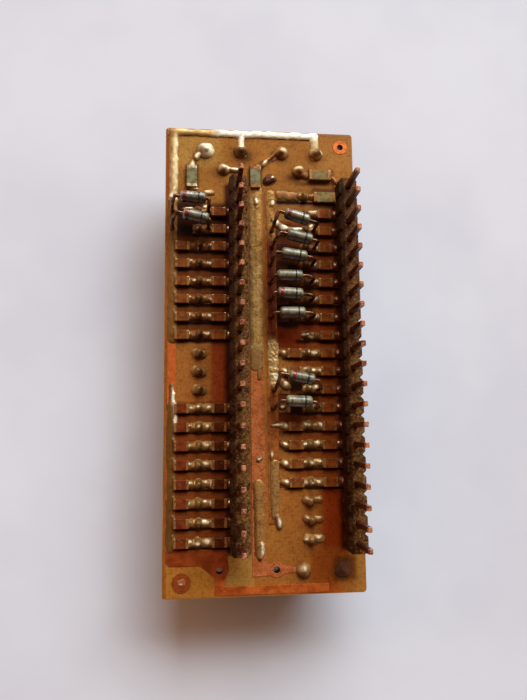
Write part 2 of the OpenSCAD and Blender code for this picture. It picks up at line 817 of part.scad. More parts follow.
// Glass of a diode, along X, with rounded ends
module glass(d) {
    half = glass_l / 2;
    r = glass_d / 2;
    round_r = r - glass_end_r;
    steps = 5;
    end = [for (i = [0:steps]) [
        glass_end_r + round_r * sin(90 * i / steps),
        half - round_r + round_r * cos(90 * i / steps)
    ]];
    start = [for (i = [steps:-1:0]) [end[i][0], -end[i][1]]];
    on_plug() translate([d[1], d[2], face_z + d[3]]) rotate([0, 0, d[4]]) rotate([0, 90, 0])
        rotate_extrude() polygon(concat([[0, half]], end, start, [[0, -half]]));
}

function unit(v) = v / norm(v);

// A bent wire: an eight-sided tube swept along points, level side kept across the run
module swept_wire(points) {
    sides = 8;
    last = len(points) - 1;
    flat = points[last] - points[0];
    level = unit([-flat[1], flat[0], 0]);
    rings = [for (i = [0:last]) let(
        along = unit(points[min(i + 1, last)] - points[max(i - 1, 0)]),
        across = unit(level - (level * along) * along),
        up = cross(along, across)
    ) [for (s = [0:sides - 1]) let(t = 360 * (s + 0.5) / sides)
        points[i] + wire_d / 2 * (across * cos(t) + up * sin(t))]];
    ring_points = [for (ring = rings, p = ring) p];
    walls = [for (i = [0:last - 1], s = [0:sides - 1]) let(n = (s + 1) % sides)
        [i * sides + s, i * sides + n, (i + 1) * sides + n, (i + 1) * sides + s]];
    caps = [[for (s = [sides - 1:-1:0]) s], [for (s = [0:sides - 1]) last * sides + s]];
    polyhedron(ring_points, concat(walls, caps));
}

function wire_start(d, side) =
    [d[1], d[2], face_z + d[3]] + side * glass_l / 2 * [cos(d[4]), sin(d[4]), 0];
function wire_foot(d, side) = [side < 0 ? d[5] : d[6], row_y(d[0]), land_z];
function wire_turn(d, side) = let(run = wire_foot(d, side) - wire_start(d, side)) atan2(run[1], run[0]);

// Path of one lead: a stub in line with the glass, a rounded knee, straight down to its land
function wire_path(d, side) = let(
    start = wire_start(d, side),
    foot = wire_foot(d, side),
    reach = norm([foot[0] - start[0], foot[1] - start[1]]),
    stub = start + side * reach * stub_share * [cos(d[4]), sin(d[4]), 0],
    out = unit([foot[0] - stub[0], foot[1] - stub[1], 0]),
    knee = reach * knee_share,
    middle = [foot[0], foot[1], start[2] - knee] - out * knee
) concat(
    [start, stub],
    [for (t = [0:30:90]) middle + knee * (out * sin(t) + [0, 0, cos(t)])],
    [foot]
);

module each_foot(diodes) {
    for (d = diodes, side = [-1, 1])
        translate(wire_foot(d, side)) rotate([0, 0, wire_turn(d, side) + 22.5]) children();
}

// Space that a lead's solder takes in the solder around it
module foot_space(diodes) {
    each_foot(diodes) cylinder(r = wire_joint_r, h = 2 * through);
}

module foot_joints(diodes) {
    difference() {
        for (d = diodes, side = [-1, 1]) let(foot = wire_foot(d, side))
            joint(foot[0], foot[1], wire_joint_r, wire_joint_h, wire_d * 0.6);
        each_foot(diodes) cylinder(d = wire_d, h = wire_joint_h * 4, center = true, $fn = 8);
    }
}

module diode_joints() {
    color("tan") on_plug() {
        foot_joints(diodes_left);
        foot_joints(diodes_right);
    }
}

module diode_wires(diodes) {
    color("silver") on_plug() for (d = diodes, side = [-1, 1]) swept_wire(wire_path(d, side));
}

module diode(d) {
    color("darkseagreen", 0.7) glass(d);
}

// A lead seen in the plane of its bend: straight, spread, straight through the board
module spread_lead(x0, x1, z0, w) {
    z1 = z0 + 0.3;
    z2 = board_z - 0.2;
    z3 = land_z + tail_proud;
    rotate([90, 0, 0]) linear_extrude(w, center = true) polygon([
        [x0 - w / 2, z0], [x0 - w / 2, z1], [x1 - w / 2, z2], [x1 - w / 2, z3],
        [x1 + w / 2, z3], [x1 + w / 2, z2], [x0 + w / 2, z1], [x0 + w / 2, z0]
    ]);
}

// Moulded three-lead body: a cylinder with a flat front
module transistor(i) {
    flat_offset = transistor_d / 2 - 0.8;
    color("dimgray") on_plug() translate([transistor_x[i], transistor_y, transistor_top - transistor_h])
        linear_extrude(transistor_h) intersection() {
            circle(d = transistor_d);
            translate([-transistor_d, -transistor_d]) square([2 * transistor_d, transistor_d + flat_offset]);
        }
}

module transistor_leads(i) {
    lead_pitch = 1.27;
    color("silver") on_plug() translate([transistor_x[i], transistor_y, 0]) {
        for (side = [-1, 1])
            spread_lead(side * lead_pitch, side * transistor_spread / 2, transistor_top, transistor_lead);
        rotate([0, 0, -90]) spread_lead(0, transistor_step, transistor_top, transistor_lead);
    }
}

module disc_shape() {
    r = disc_d / 2;
    edge = disc_t / 3;
    translate([disc_x, disc_y, board_z - disc_gap - r]) rotate([90, 0, 0]) rotate_extrude() polygon([
        [0, -disc_t / 2], [r - edge, -disc_t / 2], [r, -disc_t / 2 + edge],
        [r, disc_t / 2 - edge], [r - edge, disc_t / 2], [0, disc_t / 2]
    ]);
}

module disc_capacitor() {
    color("goldenrod") on_plug() disc_shape();
}

module capacitor_leads() {
    r = disc_d / 2;
    out = r * 0.6;
    color("silver") on_plug() difference() {
        for (side = [-1, 1]) translate([disc_x, disc_y, 0])
            spread_lead(side * out, side * disc_spread / 2, board_z - disc_gap - r * 0.3, transistor_lead);
        disc_shape();
    }
}

board();
left_bus();
top_bus();
wide_centre_bus();
slim_centre_bus();
bottom_land();
row_lands_left();
row_lands_right();
lead_lands();
bus_tinning();
row_solder_left();
row_solder_right();
header_solder_left();
header_solder_right();
lead_joints();
header_strip_left();
header_strip_right();
header_pins_left();
header_pins_right();
device_body();
device_leads_left();
device_leads_right();
socket_frame();
socket_contacts_left();
socket_contacts_right();
bus_resistors_left();
bus_resistor_caps_left();
series_resistors_left();
series_resistor_caps_left();
bus_resistors_right();
bus_resistor_caps_right();
series_resistors_right();
series_resistor_caps_right();
large_resistors();
large_resistor_caps();
for (d = diodes_left) diode(d);
for (d = diodes_right) diode(d);
diode_wires(diodes_left);  // diode_wires_left
diode_wires(diodes_right);  // diode_wires_right
diode_joints();
transistor(0);  // transistor_left
transistor(1);  // transistor_right
transistor_leads(0);  // transistor_leads_left
transistor_leads(1);  // transistor_leads_right
disc_capacitor();
capacitor_leads();
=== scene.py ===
# Looks of the plug-in circuit module: materials, lumpy solder, glass diodes, bent wires, table and light
import math

import bpy
import numpy as np
from mathutils import Matrix, Vector


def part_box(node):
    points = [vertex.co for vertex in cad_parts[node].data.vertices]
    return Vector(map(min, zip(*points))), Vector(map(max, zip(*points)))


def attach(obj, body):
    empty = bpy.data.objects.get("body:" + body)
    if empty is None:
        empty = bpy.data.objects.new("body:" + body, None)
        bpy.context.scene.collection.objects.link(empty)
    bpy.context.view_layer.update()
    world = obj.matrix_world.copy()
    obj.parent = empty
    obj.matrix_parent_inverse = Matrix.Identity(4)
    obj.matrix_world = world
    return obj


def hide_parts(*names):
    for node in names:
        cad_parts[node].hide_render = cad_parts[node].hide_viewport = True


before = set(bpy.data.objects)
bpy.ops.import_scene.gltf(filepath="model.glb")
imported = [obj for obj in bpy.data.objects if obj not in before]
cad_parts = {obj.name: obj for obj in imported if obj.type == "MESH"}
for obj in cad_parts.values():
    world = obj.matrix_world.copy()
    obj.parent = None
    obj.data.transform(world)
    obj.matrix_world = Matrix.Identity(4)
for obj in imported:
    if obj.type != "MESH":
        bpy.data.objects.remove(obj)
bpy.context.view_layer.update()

# Millimetres in the plug frame (midway between the header rows) are used for all places on the board
MM = 0.001
BOARD_LOW, BOARD_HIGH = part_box("board")
PINS_LEFT, PINS_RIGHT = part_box("header_pins_left"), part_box("header_pins_right")
FACE = BOARD_HIGH.z / MM
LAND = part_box("left_bus")[1].z / MM
PIN_TOP = PINS_LEFT[1].z / MM
PLUG_X = (PINS_LEFT[0].x + PINS_RIGHT[1].x) / 2 / MM
PLUG_Y = (PINS_LEFT[0].y + PINS_LEFT[1].y) / 2 / MM
BOARD = [
    BOARD_LOW.x / MM - PLUG_X, BOARD_HIGH.x / MM - PLUG_X,
    BOARD_LOW.y / MM - PLUG_Y, BOARD_HIGH.y / MM - PLUG_Y,
]

# The two rows of header pins, the two rows of the device's leads, and the rows that have a small resistor
SIDES = ("left", "right")
PITCH = 2.54
ROWS = 20
HEADER_X = (-7.62, 7.62)
DEVICE_X = (-13.0, 2.24)
BUS_ROWS_LEFT = [4, 5, 6, 7, 8, 9, 13, 14, 15, 16, 17, 18, 19, 20]
BUS_ROWS_RIGHT = [10, 11, 14, 15, 16, 17]
SERIES_ROWS_LEFT = [2, 3, 4, 5, 6, 7, 8, 9, 13, 14, 15, 16, 17, 18, 19, 20]
SERIES_ROWS_RIGHT = list(range(2, 18))

# Joints of single leads: x, y and radius, six at the top and two at the bottom
LEAD_JOINTS = [
    (-12.04, 30.9, 1.2), (-6.96, 30.9, 1.0), (-0.99, 30.9, 1.0), (4.09, 30.9, 1.0),
    (-9.5, 28.1, 0.95), (1.55, 28.1, 1.0), (1.15, -28.1, 1.0), (6.45, -28.1, 1.1),
]
VIA = (-2.7, 26.8)
HOLES = [(7.8, 32.1), (-10.2, -27.8), (-2.55, -27.9)]
FILLED_HOLE = (-15.2, -29.2)
HOLE_R = 0.45


# How far up the board a row lies, with row 1 at the top
def row_y(k):
    return ((ROWS + 1) / 2 - k) * PITCH


# Colours are written as they look on a screen
def lin(r, g, b):
    def one(v):
        v /= 255
        return v / 12.92 if v <= 0.04045 else ((v + 0.055) / 1.055) ** 2.4
    return (one(r), one(g), one(b))


# Smooth noise between -1 and 1, the same on each run
NOISE_CELLS = 128


def noise(x, y, size, seed):
    table = np.random.default_rng(seed).uniform(-1, 1, (NOISE_CELLS, NOISE_CELLS))
    fx, fy = x / size + 5 * NOISE_CELLS, y / size + 5 * NOISE_CELLS
    ix, iy = np.floor(fx).astype(int), np.floor(fy).astype(int)
    tx, ty = fx - ix, fy - iy
    tx, ty = tx * tx * (3 - 2 * tx), ty * ty * (3 - 2 * ty)

    def at(i, j):
        return table[j % NOISE_CELLS, i % NOISE_CELLS]

    low = at(ix, iy) * (1 - tx) + at(ix + 1, iy) * tx
    high = at(ix, iy + 1) * (1 - tx) + at(ix + 1, iy + 1) * tx
    return low * (1 - ty) + high * ty


# Three layers of noise, each about half as large as the one before
def lumps(x, y, size, seed):
    total = 0.6 * noise(x, y, size, seed)
    total += 0.3 * noise(x, y, size / 2.1, seed + 1)
    return total + 0.15 * noise(x, y, size / 4.3, seed + 2)


# The same work for each row of values
def each(work, *rows):
    for row in rows:
        work(*row)


# Height fields: grids over part of the board, with solder heights over the lands and a colour at each point.
# A field lies deep where it has no solder, gets its lumps where it is wet, and is kept above its edge.
DEEP, WET, EDGE = -0.5, -0.3, -0.11
SLOPE = 1.6
FILM_STEP, BUS_STEP, JOINT_STEP = 0.15, 0.1, 0.08


class Field:
    def __init__(self, x0, x1, y0, y1, step, seed):
        xs = np.arange(x0, x1 + step / 2, step)
        ys = np.arange(y0, y1 + step / 2, step)
        self.x, self.y = np.meshgrid(xs, ys)
        self.h = np.full(self.x.shape, DEEP)
        self.rgb = np.zeros(self.x.shape + (3,))
        self.clean = np.full(self.x.shape, 0.5)
        self.wx = self.x + 0.10 * noise(self.x, self.y, 0.7, seed + 50)
        self.wy = self.y + 0.10 * noise(self.x, self.y, 0.7, seed + 51)

    # The higher of two heights, with the corner between them eased
    def join(self, other, blend):
        mix = np.clip(0.5 + 0.5 * (self.h - other) / blend, 0, 1)
        self.h = other * (1 - mix) + self.h * mix + blend * mix * (1 - mix)

    # Distance to a stretch from one point to another
    def reach(self, x0, y0, x1, y1):
        dx, dy = x1 - x0, y1 - y0
        run = dx * dx + dy * dy
        t = np.clip(((self.wx - x0) * dx + (self.wy - y0) * dy) / run, 0, 1) if run else 0
        return np.hypot(self.wx - x0 - t * dx, self.wy - y0 - t * dy)

    # A rounded bead, lower towards its edge
    def bead(self, x0, y0, x1, y1, w, h, power=0.7):
        d = self.reach(x0, y0, x1, y1) / w
        inside = h * np.power(np.clip(1 - d * d, 0, 1), power)
        self.join(np.where(d < 1, inside, np.maximum(-(d - 1) * w * SLOPE, DEEP)), 0.12)

    # A hollow-sided fillet that climbs a lead
    def fillet(self, x, y, r, h, neck):
        d = np.hypot(self.wx - x, self.wy - y)
        t = np.clip((r - d) / (r - neck), 0, 1)
        self.join(np.where(d < r, h * t * t, np.maximum(-(d - r) * SLOPE, DEEP)), 0.1)

    # Solder drawn up to the upright end of a chip, on the side that faces +X or -X
    def meniscus(self, x, y, side, reach, width, h):
        d = (self.wx - x) * side
        t = np.clip(1 - d / reach, 0, 1)
        cross = np.abs(self.wy - y) / (width / 2)
        up = h * t * t * np.power(np.clip(1 - cross ** 4, 0, 1), 0.5)
        self.join(np.where((d > -0.12) & (cross < 1) & (t > 0), up, DEEP), 0.05)

    # Low lumps on the solder
    def roughen(self, height, size, seed):
        self.h += np.where(self.h > WET, height * lumps(self.x, self.y, size, seed), 0)

    # How clean the skin is, from 0 under flux to 1 for bare metal
    def soil(self, level, spread, size, seed):
        self.clean = np.clip(level + spread * lumps(self.x, self.y, size, seed), 0, 1)

    # Masks: a soft spot and a soft-edged box
    def spot(self, x, y, rx, ry=None):
        ry = ry or rx
        return np.exp(-((self.wx - x) / rx) ** 2 - ((self.wy - y) / ry) ** 2)

    def area(self, x0, x1, y0, y1, soft):
        def ramp(v):
            v = np.clip(v / soft + 0.5, 0, 1)
            return v * v * (3 - 2 * v)

        return ramp(self.wx - x0) * ramp(x1 - self.wx) * ramp(self.wy - y0) * ramp(y1 - self.wy)

    def fill(self, colour):
        self.rgb[:] = lin(*colour)

    def paint(self, mask, colour, share=1.0):
        m = (np.clip(mask, 0, 1) * share)[..., None]
        self.rgb = self.rgb * (1 - m) + np.array(lin(*colour)) * m

    # Paint with a box or a spot as the mask
    def tone(self, x0, x1, y0, y1, soft, colour, share=1.0):
        self.paint(self.area(x0, x1, y0, y1, soft), colour, share)

    def stain(self, x, y, rx, ry, colour, share=1.0):
        self.paint(self.spot(x, y, rx, ry), colour, share)

    def polish(self, mask, value):
        m = np.clip(mask, 0, 1)
        self.clean = self.clean * (1 - m) + value * m

    # A painted highlight: a pale spot painted on the solder, where its skin is also made clean and a little
    # rough
    def paint_highlight(self, x, y, rx, ry=None, colour=(250, 236, 204), share=0.9):
        mask = self.spot(x, y, rx, ry)
        self.paint(mask, colour, 0.6 * share)
        self.paint(2.2 * mask - 0.8, (255, 242, 206), share)
        self.polish(mask, 0.25)

    # One piece: the field's surface from the board up, with its own colours
    def build(self, name, base, keep, material, slot, *nodes, pitted=None):
        cells = keep[:-1, :-1] & keep[1:, :-1] & keep[:-1, 1:] & keep[1:, 1:]
        touched = np.zeros(keep.shape, bool)
        for dy in (0, 1):
            for dx in (0, 1):
                touched[dy:dy + cells.shape[0], dx:dx + cells.shape[1]] |= cells
        number = np.full(keep.shape, -1)
        number[touched] = np.arange(touched.sum())
        places = np.stack([self.x + PLUG_X, self.y + PLUG_Y, base + self.h], axis=2)[touched] * MM
        j, i = np.nonzero(cells)
        quads = np.stack([number[j, i], number[j, i + 1], number[j + 1, i + 1], number[j + 1, i]], axis=1)
        mesh = bpy.data.meshes.new(name)
        mesh.from_pydata(places, [], quads)
        mesh.validate()
        tint = mesh.color_attributes.new("tint", "FLOAT_COLOR", "POINT")
        rgba = np.concatenate([np.clip(self.rgb[touched], 0, 1), np.ones((len(places), 1))], axis=1)
        tint.data.foreach_set("color", rgba.astype(np.float32).ravel())
        add_values(mesh, "clean", self.clean[touched])
        if pitted is not None:
            add_values(mesh, "pitted", np.clip(pitted[touched], 0, 1))
        mesh.shade_smooth()
        add_piece(name, mesh, [material], nodes)

    def build_solder(self, name, *nodes, pitted=None):
        self.build(name, LAND, self.h > EDGE, SOLDER, "solder", *nodes, pitted=pitted)


def add_values(mesh, name, values):
    mesh.attributes.new(name, "FLOAT", "POINT").data.foreach_set("value", np.array(values, np.float32))


def add_piece(name, mesh, materials, nodes):
    obj = bpy.data.objects.new(name, mesh)
    bpy.context.scene.collection.objects.link(obj)
    for material in materials:
        obj.data.materials.append(material)
    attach(obj, "root")
    if nodes:
        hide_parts(*nodes)


# Nodes of a material or of the world, added and joined by short calls
class Graph:
    def __init__(self, tree, space):
        tree.nodes.clear()
        self.nodes, self.links = tree.nodes, tree.links
        self.where = self.nodes.new("ShaderNodeTexCoord").outputs[space]

    def feed(self, node, socket, value):
        if hasattr(value, "links"):
            self.links.new(value, node.inputs[socket])
        else:
            node.inputs[socket].default_value = value

    def math(self, kind, a, b=0.0):
        n = self.nodes.new("ShaderNodeMath")
        n.operation = kind
        self.feed(n, 0, a)
        self.feed(n, 1, b)
        return n.outputs[0]

    def times(self, a, b):
        return self.math("MULTIPLY", a, b)

    def plus(self, a, b):
        return self.math("ADD", a, b)

    # From 0 at the low value to 1 at the high one, eased at both ends
    def stretch(self, value, low, high):
        n = self.nodes.new("ShaderNodeMapRange")
        n.interpolation_type = "SMOOTHSTEP"
        self.feed(n, 0, value)
        self.feed(n, "From Min", low)
        self.feed(n, "From Max", high)
        return n.outputs[0]

    # From the low value to the high one, as the value goes from 0 to 1
    def scale(self, value, low, high):
        n = self.nodes.new("ShaderNodeMapRange")
        self.feed(n, 0, value)
        self.feed(n, "To Min", low)
        self.feed(n, "To Max", high)
        return n.outputs[0]

    def mix(self, share, a, b, kind="MIX"):
        n = self.nodes.new("ShaderNodeMix")
        n.data_type = "RGBA"
        n.blend_type = kind
        self.feed(n, 0, share)
        self.feed(n, 6, a if hasattr(a, "links") else (*a, 1))
        self.feed(n, 7, b if hasattr(b, "links") else (*b, 1))
        return n.outputs[2]

    # A colour with its red, green and blue each multiplied by a factor
    def dyed(self, colour, factors):
        return self.mix(1.0, colour, factors, "MULTIPLY")

    def axes(self):
        n = self.nodes.new("ShaderNodeSeparateXYZ")
        self.links.new(self.where, n.inputs[0])
        return n.outputs


class Shader(Graph):
    def __init__(self, name, **values):
        self.mat = bpy.data.materials.new(name)
        self.mat.use_nodes = True
        super().__init__(self.mat.node_tree, "Object")
        out = self.nodes.new("ShaderNodeOutputMaterial")
        self.bsdf = self.nodes.new("ShaderNodeBsdfPrincipled")
        self.links.new(self.bsdf.outputs[0], out.inputs[0])
        for key, value in values.items():
            self.put(key.replace("_", " "), value)

    def put(self, socket, value):
        self.feed(self.bsdf, socket, value)

    # Noise with features of a size in millimetres
    def grain(self, size, detail=3.0, squash=None):
        where = self.where
        if squash:
            m = self.nodes.new("ShaderNodeMapping")
            self.feed(m, "Scale", squash)
            self.links.new(where, m.inputs[0])
            where = m.outputs[0]
        n = self.nodes.new("ShaderNodeTexNoise")
        self.feed(n, "Scale", 1 / (size * MM))
        self.feed(n, "Detail", detail)
        self.feed(n, "Roughness", 0.55)
        self.links.new(where, n.inputs[0])
        return n.outputs[0]

    def pits(self, size):
        n = self.nodes.new("ShaderNodeTexVoronoi")
        self.feed(n, "Scale", 1 / (size * MM))
        self.links.new(self.where, n.inputs[0])
        return n.outputs[0]

    # Noise as a mask: blotches that rise from 0 to 1 between two of its values
    def blots(self, size, low, high, detail=3.0):
        return self.stretch(self.grain(size, detail), low, high)

    # The end of each material: its colour, its roughness and its fine relief
    def coat(self, colour, rough, height, depth, strength):
        self.put("Base Color", colour)
        self.put("Roughness", rough)
        n = self.nodes.new("ShaderNodeBump")
        self.feed(n, "Strength", strength)
        self.feed(n, "Distance", depth * MM)
        self.feed(n, "Height", height)
        self.put("Normal", n.outputs[0])
        return self.mat

    def tint(self, name="tint"):
        n = self.nodes.new("ShaderNodeAttribute")
        n.attribute_name = name
        return n.outputs

    # A mask that is 1 in a box on the board, in plug-frame millimetres, with an uneven edge
    def zone(self, x0, x1, y0, y1, soft, rag):
        x, y, _ = self.axes()
        shift = self.times(self.math("SUBTRACT", self.grain(1.1), 0.5), 2 * rag * MM)
        half = soft * MM / 2
        sides = []
        for value, low, high, origin in ((x, x0, x1, PLUG_X), (y, y0, y1, PLUG_Y)):
            value, low, high = self.plus(value, shift), (low + origin) * MM, (high + origin) * MM
            rise = self.stretch(value, low - half, low + half)
            sides.append(self.times(rise, self.stretch(value, high + half, high - half)))
        return self.times(*sides)


# Weave of the laminate: two sets of threads, over and under
THREAD = 0.42


def weave(s):
    x, y, _ = s.axes()
    turns = 2 * math.pi / (THREAD * MM)
    waves = [s.plus(s.math("SINE", s.times(v, turns)), 1.0) for v in (x, y)]
    return s.times(s.plus(*waves), 0.25)


def board_material():
    s = Shader("laminate", Specular_IOR_Level=0.3)
    threads = weave(s)
    colour = s.mix(s.blots(5.0, 0.35, 0.7), lin(164, 104, 44), lin(128, 74, 28))
    colour = s.mix(s.times(threads, 0.25), colour, lin(196, 146, 76))
    # Painted shade: the laminate is darkened in and round the spare holes
    for x, y in HOLES:
        hole_shade = s.zone(x - 0.7, x + 0.7, y - 0.7, y + 0.7, 0.2, 0.0)
        colour = s.mix(hole_shade, colour, lin(74, 26, 11))
    return s.coat(colour, s.scale(s.grain(0.8), 0.4, 0.65), threads, 0.015, 0.6)


def film_material():
    s = Shader("flux_film", Specular_IOR_Level=0.04)
    rgb = s.tint()["Color"]
    threads = weave(s)
    fine = s.grain(0.35)
    colour = s.mix(s.times(threads, 0.16), rgb, s.dyed(rgb, (1.5, 1.55, 1.6)))
    colour = s.mix(s.stretch(fine, 0.4, 0.8), colour, s.dyed(colour, (0.66, 0.56, 0.5)))
    rough = s.scale(s.tint("clean")["Fac"], 0.3, 0.65)
    return s.coat(colour, rough, s.plus(s.times(threads, 0.4), fine), 0.02, 0.5)


def solder_material():
    s = Shader("solder", Specular_IOR_Level=0.25)
    clean = s.tint("clean")["Fac"]
    rgb = s.tint()["Color"]
    fine = s.grain(0.3)
    colour = s.mix(s.blots(0.6, 0.45, 0.8), rgb, s.dyed(rgb, (0.7, 0.56, 0.42)))
    pits = s.times(s.blots(0.22, 0.5, 0.64, 4.0), s.tint("pitted")["Fac"])
    colour = s.mix(pits, colour, s.dyed(rgb, (0.36, 0.24, 0.14)))
    s.put("Metallic", s.scale(clean, 0.05, 1.0))
    rough = s.plus(s.scale(clean, 0.58, 0.14), s.times(s.math("SUBTRACT", fine, 0.5), 0.12))
    return s.coat(colour, rough, s.math("SUBTRACT", fine, pits), 0.02, 0.5)


def copper_material(name, bright, dull, pit_share):
    s = Shader(name, Metallic=0.12, Specular_IOR_Level=0.08)
    pits = s.stretch(s.pits(0.3), 0.4, 0.14)
    crumbs = s.blots(0.9, 0.36, 0.56)
    blot = s.blots(0.8, 0.36, 0.66)
    colour = s.mix(blot, bright, dull)
    colour = s.mix(s.times(s.times(pits, crumbs), pit_share), colour, lin(84, 40, 16))
    fleck = s.blots(0.22, 0.62, 0.7, 4.0)
    colour = s.mix(s.times(fleck, pit_share * 0.5), colour, lin(222, 170, 122))
    relief = s.math("SUBTRACT", s.grain(0.2), pits)
    return s.coat(colour, s.scale(s.grain(0.4), 0.35, 0.6), relief, 0.015, 0.6)


# The bottom land is dull at the rows and brighter along the board's edge
def bottom_land_material():
    s = Shader("bottom_copper", Metallic=0.2, Specular_IOR_Level=0.12)
    blot = s.blots(1.2, 0.35, 0.66)
    edge = s.zone(-12, 6, -33, -29.2, 1.2, 0.5)
    dull = s.mix(blot, lin(150, 66, 24), lin(122, 48, 15))
    bright = s.mix(blot, lin(196, 98, 40), lin(160, 68, 22))
    colour = s.mix(edge, dull, bright)
    fleck = s.blots(0.25, 0.66, 0.74)
    colour = s.mix(s.times(fleck, s.times(edge, 0.8)), colour, lin(228, 180, 130))
    return s.coat(colour, s.scale(s.grain(0.4), 0.35, 0.6), s.grain(0.3), 0.015, 0.6)


# Lands are tinned, apart from the bare ring at the top hole and the red-brown ring at the filled hole, and
# painted dark as shade where the right diodes lie over them
def land_material(name, base, dark):
    s = Shader(name, Specular_IOR_Level=0.12)
    blot = s.blots(0.7, 0.4, 0.65)
    colour = s.mix(blot, base, dark)
    for (x, y), pale, deep in (
        (HOLES[0], lin(214, 112, 50), lin(184, 86, 32)), (FILLED_HOLE, lin(152, 72, 30), lin(126, 54, 20)),
    ):
        colour = s.mix(s.zone(x - 2, x + 2, y - 2, y + 2, 0.3, 0.1), colour, s.mix(blot, pale, deep))
    # Painted shade under the right diodes
    diode_shade = s.zone(-2.4, 3.0, 5.0, 20.4, 1.2, 0.3)
    colour = s.mix(diode_shade, colour, s.mix(blot, lin(72, 32, 12), lin(48, 20, 8)))
    s.put("Metallic", s.scale(blot, 0.3, 0.1))
    return s.coat(colour, s.scale(s.grain(0.4), 0.35, 0.6), s.grain(0.3), 0.02, 0.5)


def strip_material():
    s = Shader("dusty_strip", Specular_IOR_Level=0.08)
    dust = s.blots(0.4, 0.45, 0.62, 5.0)
    speck = s.stretch(s.pits(0.3), 0.26, 0.1)
    colour = s.mix(s.blots(2.5, 0.35, 0.65), lin(70, 37, 14), lin(100, 62, 29))
    colour = s.mix(s.times(dust, 0.5), colour, lin(140, 102, 56))
    colour = s.mix(s.times(speck, 0.6), colour, lin(200, 162, 114))
    dark = s.blots(0.3, 0.54, 0.66, 5.0)
    colour = s.mix(s.times(dark, 0.6), colour, lin(40, 22, 10))
    # Painted shade: the left flank of each strip is darkened
    for x in HEADER_X:
        edge = s.zone(x - 1.7, x - 0.55, -30, 32, 0.5, 0.4)
        colour = s.mix(edge, colour, s.dyed(colour, (0.3, 0.22, 0.18)))
    return s.coat(colour, s.scale(dust, 0.5, 0.85), s.plus(dust, s.grain(0.2)), 0.03, 0.7)


def pin_material():
    s = Shader("tarnished_pin", Specular_IOR_Level=0.3)
    _, _, z = s.axes()
    # Paler at the top ends than along the shafts
    tip = s.stretch(z, (PIN_TOP - 0.4) * MM, (PIN_TOP - 0.08) * MM)
    streak = s.stretch(s.grain(0.8, 4.0, (3, 3, 0.5)), 0.35, 0.65)
    shaft = s.mix(streak, lin(122, 58, 36), lin(54, 20, 11))
    pale_top = s.mix(s.blots(0.4, 0.42, 0.6), lin(204, 134, 90), lin(122, 64, 38))
    s.put("Metallic", s.scale(tip, 0.6, 0.2))
    return s.coat(s.mix(tip, shaft, pale_top), s.scale(streak, 0.22, 0.42), streak, 0.01, 0.5)


# Chips under flux: darker in the lower rows on the left, and olive on the two large ones on the right
def chip_material(name, upper, lower, spot):
    s = Shader(name, Specular_IOR_Level=0.1)
    blot = s.blots(0.8, 0.35, 0.65)
    olive = s.zone(2, 9, 23.5, 29, 0.4, 0.1)
    low = s.zone(-18, -6, -30, -5, 0.6, 0.2)
    rgb = s.mix(olive, s.mix(low, upper, lower), lin(146, 124, 72))
    rgb = s.mix(blot, rgb, s.dyed(rgb, (0.55, 0.48, 0.45)))
    rgb = s.mix(s.times(s.blots(0.35, 0.6, 0.74, 4.0), 0.5), rgb, spot)
    return s.coat(rgb, s.scale(blot, 0.25, 0.5), s.grain(0.3), 0.03, 0.6)


def cap_material():
    s = Shader("soldered_cap", Specular_IOR_Level=0.25)
    blot = s.blots(0.6, 0.35, 0.65)
    first = s.zone(-16, -12, 24, 30, 0.4, 0.1)
    dull = s.mix(blot, lin(184, 134, 78), lin(122, 66, 28))
    s.put("Metallic", s.scale(blot, 0.5, 0.25))
    colour = s.mix(first, dull, s.mix(blot, lin(246, 230, 190), lin(160, 118, 70)))
    return s.coat(colour, s.scale(blot, 0.22, 0.42), s.grain(0.25), 0.03, 0.6)


def mould_material(name, colour, dust):
    s = Shader(name, Specular_IOR_Level=0.4)
    blot = s.blots(0.25, 0.4, 0.7, 5.0)
    rgb = s.mix(blot, colour, dust)
    return s.coat(rgb, s.scale(s.grain(1.5), 0.42, 0.62), s.grain(0.12, 4.0), 0.012, 0.6)


def metal_material(name, colour, dark):
    s = Shader(name, Metallic=1.0)
    blot = s.blots(0.7, 0.38, 0.68, 4.0)
    return s.coat(s.mix(blot, colour, dark), s.scale(blot, 0.2, 0.4), s.grain(0.2), 0.008, 0.5)


def wire_material():
    s = Shader("dull_wire", Specular_IOR_Level=0.3)
    blot = s.blots(0.8, 0.38, 0.66, 4.0)
    s.put("Metallic", s.scale(blot, 0.85, 0.4))
    colour = s.mix(blot, lin(128, 82, 52), lin(46, 20, 11))
    return s.coat(colour, s.scale(blot, 0.2, 0.35), s.grain(0.25), 0.02, 0.6)


def glass_material():
    s = Shader("diode_glass", IOR=1.5, Transmission_Weight=0.15)
    blot = s.blots(0.9, 0.35, 0.7)
    ring = s.stretch(s.grain(0.5, 3.0, (1, 0.3, 0.3)), 0.5, 0.68)
    colour = s.mix(blot, lin(150, 142, 108), lin(94, 80, 50))
    colour = s.mix(s.times(ring, 0.75), colour, lin(50, 38, 24))
    # Painted shade: darker on the -y flank, the side facing away from the light
    shaded_flank = s.stretch(s.tint("flank")["Fac"], 0.1, -0.7)
    return s.coat(s.mix(shaded_flank, colour, lin(58, 32, 16)), s.scale(blot, 0.24, 0.42), s.grain(0.8), 0.008, 0.3)


def slug_material(name, colour, dark, metal):
    s = Shader(name, Metallic=metal)
    blot = s.blots(0.4, 0.38, 0.6)
    # Painted shade: darker on the -y flank, the side facing away from the light
    shaded_flank = s.stretch(s.tint("flank")["Fac"], 0.2, -0.6)
    rgb = s.mix(shaded_flank, s.mix(blot, colour, dark), s.dyed(dark, (0.35, 0.3, 0.3)))
    return s.coat(rgb, s.scale(blot, 0.2, 0.4), s.grain(0.3), 0.01, 0.4)


SOLDER = solder_material()
WIRE = wire_material()
TIN = metal_material("tin_plate", lin(208, 206, 200), lin(150, 146, 138))
OLIVE = lin(134, 130, 92)


# Names of the nodes that there are two of, one on each side
def pair(*names):
    return [f"{name}_{side}" for name in names for side in SIDES]


